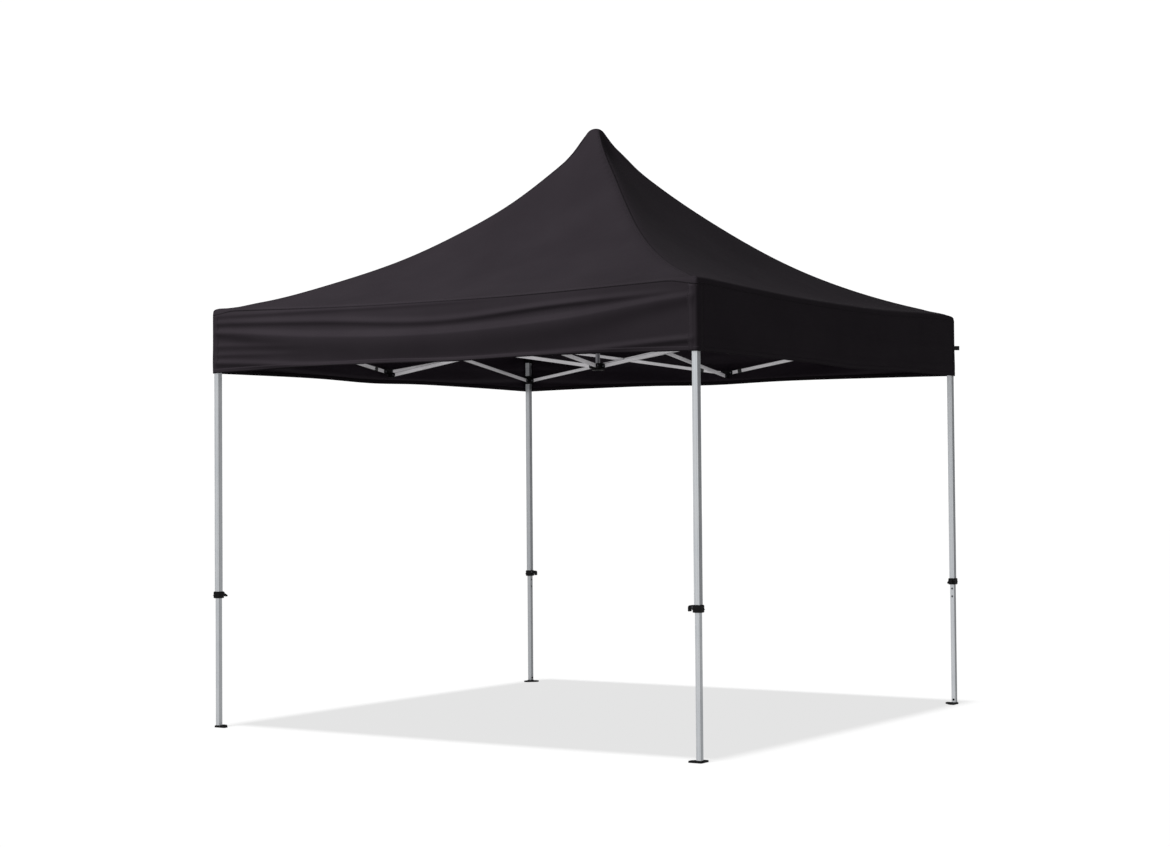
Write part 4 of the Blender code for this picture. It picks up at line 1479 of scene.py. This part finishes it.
def bars_of_side(index):
    """Name, whether it has the rivet, and place: a side's four bars and the two from there to the hubs."""
    side = SIDES[index]
    made = []
    for number, direction, turn in ((1, -1, pi), (2, 1, 0.0)):
        start = direction * CONNECTOR_TO_PIVOT
        rising = bar_matrix(index, (start, -LEG_AXIS - BAR_PLANE, LOWER_PIVOT_Z), turn, -BAR_SLOPE)
        falling = bar_matrix(index, (start, -LEG_AXIS + BAR_PLANE, UPPER_PIVOT_Z), turn, BAR_SLOPE)
        made.append((f"{side}_bar_{number}_rising", number == 2, rising))
        made.append((f"{side}_bar_{number}_falling", number == 1, falling))
    upper = (-BAR_PLANE, -CENTRE_TO_PIVOT, UPPER_PIVOT_Z - CENTRE_DROP)
    lower = (BAR_PLANE, -CENTRE_TO_PIVOT, LOWER_PIVOT_Z - CENTRE_DROP)
    made.append((f"{side}_centre_bar_falling", True, bar_matrix(index, upper, -QUARTER_TURN, BAR_SLOPE)))
    made.append((f"{side}_centre_bar_rising", False, bar_matrix(index, lower, -QUARTER_TURN, -BAR_SLOPE)))
    return made


class GAZEBO_OT_scissor_bars(bpy.types.Operator):
    """Adds the crossed bars of the sides and of the centre, with their rivets, spacers and bump stops"""

    bl_idname = "gazebo.scissor_bars"
    bl_label = "Scissor bars"

    def execute(self, context):
        finishes = ["bar", "nylon", "zinc"]
        for index in range(4):
            for name, riveted, matrix in bars_of_side(index):
                plastic, metal = rivet_parts() if riveted else ([], [])
                if name in BUMP_STOPS:
                    plastic.append(bump_stop(BUMP_STOPS[name]))
                shape = moved(in_slots([bar_shape()], plastic, metal), matrix)
                add_piece(f"{name}_tube", shape, finishes, name, [name])
        return {"FINISHED"}


WEB_HALF_WIDTH = 0.0125
WEB_EXCESS = 0.0004
WEB_EXCESS_HEIGHT = 0.001


def connector_parts(plane):
    """The T-shaped moulding in the middle of a side, with its pivots at Z = 0."""
    half = BAR_THICKNESS / 2 + CHEEK_GAP + CHEEK_THICKNESS
    low = (-WEB_HALF_WIDTH, plane - half - WEB_EXCESS, -CHEEK_DOWN - WEB_EXCESS_HEIGHT)
    high = (WEB_HALF_WIDTH, plane + half + WEB_EXCESS, CHEEK_UP + WEB_EXCESS_HEIGHT)
    plastic = [block(low, high, 0.002, 3)]
    metal = []
    for mirror in (1, -1):
        add_fork(plastic, metal, Matrix.Diagonal((mirror, 1, 1, 1)), CONNECTOR_TO_PIVOT, plane, 0.0, 0.0)
    root = plane + half - CHEEK_THICKNESS
    add_fork(plastic, metal, SWAP_X_AND_Y, CONNECTOR_TO_CENTRE_PIVOT, plane, -CENTRE_DROP, root)
    return plastic, metal


class GAZEBO_OT_connectors(bpy.types.Operator):
    """Adds the mouldings in the middle of each side that join the side bars to the centre bars"""

    bl_idname = "gazebo.connectors"
    bl_label = "Side connectors"

    def execute(self, context):
        levels = (("upper", BAR_PLANE, UPPER_PIVOT_Z), ("lower", -BAR_PLANE, LOWER_PIVOT_Z))
        for index, side in enumerate(SIDES):
            for level, plane, height in levels:
                place = side_turn(index) @ Matrix.Translation((0.0, -LEG_AXIS, height))
                shape = moved(in_slots(*connector_parts(plane)), place)
                name = f"{side}_{level}_connector"
                add_piece(f"{name}_moulding", shape, ["nylon", "zinc"], name, [name])
        return {"FINISHED"}


HUB_RADIUS = 0.021
HUB_ROUNDING = 0.0016
HUB_RIM_HEIGHT = 0.006
UPPER_RIM_OUT = 0.0015
LOWER_RIM_OUT = 0.014
LOWER_BOSS = 0.010
MAST_RADIUS = 0.0125
MAST_GUIDE_RADIUS = 0.0145
MAST_CAP_LENGTH = 0.022
MAST_CAP_OUT = 0.0008
# The cup sewn into the crown, in which the mast's cap stands
CUP_BOTTOM_Z = 3.196
CUP_TOP_Z = 3.2185
CUP_HOLLOW_TOP_Z = 3.2145
CUP_RADIUS = 0.034
CUP_TOP_RADIUS = 0.033
CUP_HOLLOW_RADIUS = 0.030


def upright_rod(radius, low, high, sides=40, edge=0.0, tip_radius=None):
    """A round bar on the Z axis."""
    return rod(radius, (0, 0, low), (0, 0, high), sides, edge, tip_radius)


def hub_parts(plane, bore_radius, boss, rim_out):
    """A hub with four forks, a rim round the foot of its core, and the mast's bore, blind above a boss."""
    plastic = []
    metal = []
    for quarter in range(4):
        turn = side_turn(quarter - 1)
        add_fork(plastic, metal, turn, CENTRE_TO_PIVOT, plane, 0.0, HUB_RADIUS / 2)
    foot = -CHEEK_DOWN - boss
    bore_low = -CHEEK_DOWN if boss else -CHEEK_DOWN - TOOL_EXCESS
    for radius, top in ((HUB_RADIUS, CHEEK_UP), (HUB_RADIUS + rim_out, foot + HUB_RIM_HEIGHT)):
        part = upright_rod(radius, foot, top, edge=HUB_ROUNDING)
        plastic.append(cut_away(part, [upright_rod(bore_radius, bore_low, 0.05, 32)]))
    return plastic, metal


class GAZEBO_OT_hubs_and_mast(bpy.types.Operator):
    """Adds the two hubs in the middle of the frame, the mast and the cup that it stands in under the crown"""

    bl_idname = "gazebo.hubs_and_mast"
    bl_label = "Hubs and mast"

    def execute(self, context):
        rows = (
            ("upper_hub", -BAR_PLANE, MAST_GUIDE_RADIUS, 0.0, UPPER_RIM_OUT, UPPER_PIVOT_Z),
            ("lower_hub", BAR_PLANE, MAST_RADIUS + TUBE_PLAY, LOWER_BOSS, LOWER_RIM_OUT, LOWER_PIVOT_Z),
        )
        for name, plane, bore, boss, rim_out, height in rows:
            place = Matrix.Translation((0, 0, height - CENTRE_DROP))
            shape = moved(in_slots(*hub_parts(plane, bore, boss, rim_out)), place)
            add_piece(f"{name}_moulding", shape, ["nylon", "zinc"], name, [name])
        low, high = (point.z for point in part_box("mast"))
        tube = upright_rod(MAST_RADIUS, low, high - 0.012)
        cap = upright_rod(MAST_RADIUS + MAST_CAP_OUT, high - MAST_CAP_LENGTH, high, edge=0.004)
        shape = in_slots([tube], [cap])
        add_piece("mast_tube", shape, ["mast", "nylon"], "lower_hub", ["mast"])
        cup = upright_rod(CUP_RADIUS, CUP_BOTTOM_Z, CUP_TOP_Z, 48, 0.006, CUP_TOP_RADIUS)
        cup = cut_away(cup, [upright_rod(CUP_HOLLOW_RADIUS, CUP_BOTTOM_Z - 0.016, CUP_HOLLOW_TOP_Z)])
        add_piece("crown_cup", cup, ["nylon"], "cover")
        return {"FINISHED"}


# Camera of the photograph, found by matching the legs and the eaves: the image is 1170 by 847 pixels
IMAGE_WIDTH = 1170
FOCAL_PIXELS = 2112.4
SENSOR_WIDTH = 36.0
CAMERA_PLACE = (6.245, -9.818, 1.267)
CAMERA_YAW = radians(-32.82)
CAMERA_PITCH = radians(1.65)
CAMERA_ROLL = radians(-0.45)


def camera_turn():
    """The camera's own axes in the scene, from its yaw, pitch and roll."""
    across = cos(CAMERA_PITCH)
    forward = Vector((sin(CAMERA_YAW) * across, cos(CAMERA_YAW) * across, sin(CAMERA_PITCH)))
    level_right = Vector((cos(CAMERA_YAW), -sin(CAMERA_YAW), 0.0))
    level_up = level_right.cross(forward)
    right = level_right * cos(CAMERA_ROLL) + level_up * sin(CAMERA_ROLL)
    up = level_up * cos(CAMERA_ROLL) - level_right * sin(CAMERA_ROLL)
    return Matrix((right, up, -forward)).transposed()


def add_camera(scene):
    data = bpy.data.cameras.new("photo_camera")
    data.sensor_width = SENSOR_WIDTH
    data.lens = FOCAL_PIXELS / IMAGE_WIDTH * SENSOR_WIDTH
    scene.camera = add_object("photo_camera", data)
    scene.camera.matrix_world = Matrix.Translation(CAMERA_PLACE) @ camera_turn().to_4x4()


FLOOR_HALF = 60.0
FLOOR_Z = -0.0005
# How bright the floor looks to the camera, what light it throws back on the object, and how bright it is in
# reflections
FLOOR_GLOW = 0.77
FLOOR_BOUNCE = 0.16
FLOOR_REFLECTED = 0.30
WHITE = (1.0, 1.0, 1.0, 1.0)


def seamless_paper(floor_colour):
    """White seamless paper: matt, lit from within, so that it stays evenly white round the soft shadow."""
    material, tree = start_material("white_seamless_paper")
    path = add_node(tree, "LightPath")
    glow = FLOOR_BOUNCE
    for ray, level in (("Is Glossy Ray", FLOOR_REFLECTED), ("Is Camera Ray", FLOOR_GLOW)):
        glow = add_node(tree, "Mix", {0: path.outputs[ray], 2: glow, 3: level}).outputs[0]
    # Only the camera sees the paper's own colour; to other rays it is black, and only its glow counts
    tint = {0: path.outputs["Is Camera Ray"], 6: colour("#000000"), 7: floor_colour}
    shown = add_node(tree, "Mix", tint, data_type="RGBA").outputs[2]
    surface = {"Base Color": shown, "Roughness": 0.9, "Specular IOR Level": 0.0}
    return end_material(material, {**surface, "Emission Color": WHITE, "Emission Strength": glow})


def add_floor(floor_colour):
    shape = bmesh.new()
    bmesh.ops.create_grid(shape, x_segments=1, y_segments=1, size=FLOOR_HALF)
    bmesh.ops.translate(shape, vec=(0, 0, FLOOR_Z), verts=shape.verts)
    mesh = mesh_from(shape, "floor")
    paper = seamless_paper(floor_colour)
    paper.cycles.emission_sampling = "NONE"
    mesh.materials.append(paper)
    floor = add_object("floor", mesh)
    return floor


def lit_by(name, pieces):
    """A collection of the pieces that a lamp lights."""
    receivers = bpy.data.collections.new(f"lit_by_{name}")
    for piece in pieces:
        receivers.objects.link(piece)
    return receivers


def add_lamp(name, kind, energy, way, receivers):
    """A lamp that shines one way and lights only the pieces of one collection."""
    light = bpy.data.lights.new(name, kind)
    light.energy = energy
    lamp = add_object(name, light)
    lamp.rotation_euler = Vector(way).to_track_quat("-Z", "Y").to_euler()
    lamp.light_linking.receiver_collection = receivers
    return lamp


OVERHEAD_WAY = (0.0, 0.085, -1.0)
OVERHEAD_SPREAD = radians(4)
# Broad lights that reach only the frame: the name, the way they shine, the share of the strength, and what
# they light. The edge light grazes the outer faces of the front legs, which look pale in the photograph.
FRAME_LIGHT_SPREAD = radians(60)
FRAME_LIGHTS = (
    ("frame_light_front", (0.55, 0.83, 0.15), 1.0, "bars"),
    ("frame_light_back", (-0.55, -0.83, 0.15), 0.7, "bars"),
    ("legs_light", (0.48, 0.87, 0.05), 0.65, "near_legs"),
    ("leg_edge_light", (-0.68, -0.73, 0.05), 0.30, "pale_edged"),
    ("far_leg_light", (0.48, 0.87, 0.05), 0.30, "far_leg"),
)


def frame_groups(scene):
    """The frame's tubes by the lights that reach them."""
    tubes = [piece for piece in scene.collection.objects if piece.name.endswith("_tube")]
    bars = [piece for piece in tubes if "_bar_" in piece.name]
    legs = {
        corner: [scene.objects[f"{part}_tube_{corner}"] for part in ("upper", "lower")] for corner in CORNERS
    }
    return {
        "bars": bars + [scene.objects["mast_tube"]],
        "near_legs": legs["front_left"] + legs["front_right"] + legs["back_right"],
        "pale_edged": legs["front_left"] + legs["front_right"][1:],
        "far_leg": legs["back_left"],
    }


# Soft boxes that light only the cover: the name, place and share of the power of each. The first hangs over
# the front and falls off towards the back, and the second keeps the back and the left from going black.
SOFT_BOXES = (("soft_box_front", (-0.9, -4.4, 5.35), 1.0), ("soft_box_back", (-2.5, 5.5, 3.3), 0.55))
SOFT_BOX_AIM = Vector((0.0, -0.3, 2.4))
SOFT_BOX_SIZE = 1.6
COVER_PIECES = ("canopy", "hem", "eave_seam", "hip_seam", "corner_patch")
# Soft lights that are part of the surroundings: the way to each, how narrow it is, and its strength. The
# first stands high at the photographer's left, and the second lightens the side turned away from it.
SOFT_LIGHTS = (
    (Vector((-0.80, -0.45, 0.75)).normalized(), 8.0, 1.2),
    (Vector((0.88, -0.42, 0.26)).normalized(), 2.0, 0.45),
)
# What metal reflects: dim surroundings, bright behind the photographer
MIRROR_LIGHTS = ((Vector((0.15, -0.95, 0.30)).normalized(), 2.5, 0.45),)
FILL = 0.01
MIRROR_FILL = 0.12
DAYLIGHT = (0.98, 0.985, 1.0, 1.0)
# How bright the surroundings look to the camera
BACKDROP_GLOW = 1.05


def add_surroundings(scene):
    """White to the camera; reflections and soft light each find soft lights of their own in the dark."""
    world = bpy.data.worlds.new("white_surroundings")
    world.use_nodes = True
    tree = world.node_tree
    tree.nodes.clear()
    direction = add_node(tree, "TexCoord").outputs["Generated"]
    shades = []
    for soft_lights, glow in ((SOFT_LIGHTS, FILL), (MIRROR_LIGHTS, MIRROR_FILL)):
        for way, sharpness, strength in soft_lights:
            facing = add_node(tree, "VectorMath", {0: direction, 1: way}, operation="DOT_PRODUCT")
            ahead = add_node(tree, "Math", {0: facing.outputs["Value"], 1: 0.0}, operation="MAXIMUM")
            spot = add_node(tree, "Math", {0: ahead, 1: sharpness}, operation="POWER")
            glow = add_node(tree, "Math", {0: spot, 1: strength, 2: glow}, operation="MULTIPLY_ADD")
        shades.append(add_node(tree, "Background", {"Color": DAYLIGHT, "Strength": glow}))
    shades.append(add_node(tree, "Background", {"Color": WHITE, "Strength": BACKDROP_GLOW}))
    path = add_node(tree, "LightPath")
    chosen = shades[0]
    for ray, shade in (("Is Glossy Ray", shades[1]), ("Is Camera Ray", shades[2])):
        chosen = add_node(tree, "MixShader", {0: path.outputs[ray], 1: chosen, 2: shade})
    add_node(tree, "OutputWorld", {"Surface": chosen})
    # Only rays that leave a surface find the surroundings, so that reflections and soft light stay apart
    world.cycles.sampling_method = "NONE"
    scene.world = world


class GAZEBO_OT_studio(bpy.types.Operator):
    """Adds the floor, the lights, the white surroundings and the photograph's camera"""

    bl_idname = "gazebo.studio"
    bl_label = "Studio"

    def execute(self, context):
        scene = context.scene
        settings = scene.gazebo_studio
        add_camera(scene)
        scene.view_settings.view_transform = "Standard"
        floor = add_floor((*settings.floor_colour, 1.0))
        receivers = lit_by("overhead", [floor])
        overhead = add_lamp("overhead", "SUN", settings.overhead_strength, OVERHEAD_WAY, receivers)
        overhead.data.angle = OVERHEAD_SPREAD
        groups = frame_groups(scene)
        for name, way, share, group in FRAME_LIGHTS:
            receivers = lit_by(name, groups[group])
            lamp = add_lamp(name, "SUN", settings.frame_strength * share, way, receivers)
            lamp.data.angle = FRAME_LIGHT_SPREAD
            lamp.light_linking.blocker_collection = receivers
        cover = [piece for piece in scene.collection.objects if piece.name.startswith(COVER_PIECES)]
        receivers = lit_by("soft_boxes", cover)
        for name, place, share in SOFT_BOXES:
            lamp = add_lamp(name, "AREA", settings.cover_power * share, SOFT_BOX_AIM - Vector(place), receivers)
            lamp.data.shape = "DISK"
            lamp.data.size = SOFT_BOX_SIZE
            lamp.location = place
        add_surroundings(scene)
        return {"FINISHED"}


OPERATORS = (
    GAZEBO_OT_cover,
    GAZEBO_OT_guy_loop,
    GAZEBO_OT_legs,
    GAZEBO_OT_feet,
    GAZEBO_OT_clips,
    GAZEBO_OT_leg_brackets,
    GAZEBO_OT_scissor_bars,
    GAZEBO_OT_connectors,
    GAZEBO_OT_hubs_and_mast,
    GAZEBO_OT_studio,
)
GROUPS = (
    ("gazebo_cover", CoverSettings),
    ("gazebo_frame", FrameSettings),
    ("gazebo_studio", StudioSettings),
)


class GAZEBO_PT_panel(bpy.types.Panel):
    """Lists the gazebo's pieces and their sizes"""

    bl_idname = "GAZEBO_PT_panel"
    bl_label = "Folding gazebo"
    bl_space_type = "VIEW_3D"
    bl_region_type = "UI"
    bl_category = "Gazebo"

    def draw(self, context):
        for name, group in GROUPS:
            box = self.layout.box()
            for setting in group.__annotations__:
                box.prop(getattr(context.scene, name), setting)
        for operator in OPERATORS:
            self.layout.operator(operator.bl_idname)


def register():
    for name, group in GROUPS:
        bpy.utils.register_class(group)
        setattr(bpy.types.Scene, name, PointerProperty(type=group))
    for operator in OPERATORS:
        bpy.utils.register_class(operator)
    bpy.utils.register_class(GAZEBO_PT_panel)


def unregister():
    bpy.utils.unregister_class(GAZEBO_PT_panel)
    for operator in reversed(OPERATORS):
        bpy.utils.unregister_class(operator)
    for name, group in reversed(GROUPS):
        delattr(bpy.types.Scene, name)
        bpy.utils.unregister_class(group)


def main():
    register()
    bpy.ops.gazebo.cover()
    bpy.ops.gazebo.guy_loop()
    bpy.ops.gazebo.legs()
    bpy.ops.gazebo.feet()
    bpy.ops.gazebo.clips()
    bpy.ops.gazebo.leg_brackets()
    bpy.ops.gazebo.scissor_bars()
    bpy.ops.gazebo.connectors()
    bpy.ops.gazebo.hubs_and_mast()
    bpy.ops.gazebo.studio()


if __name__ == "__main__":
    main()
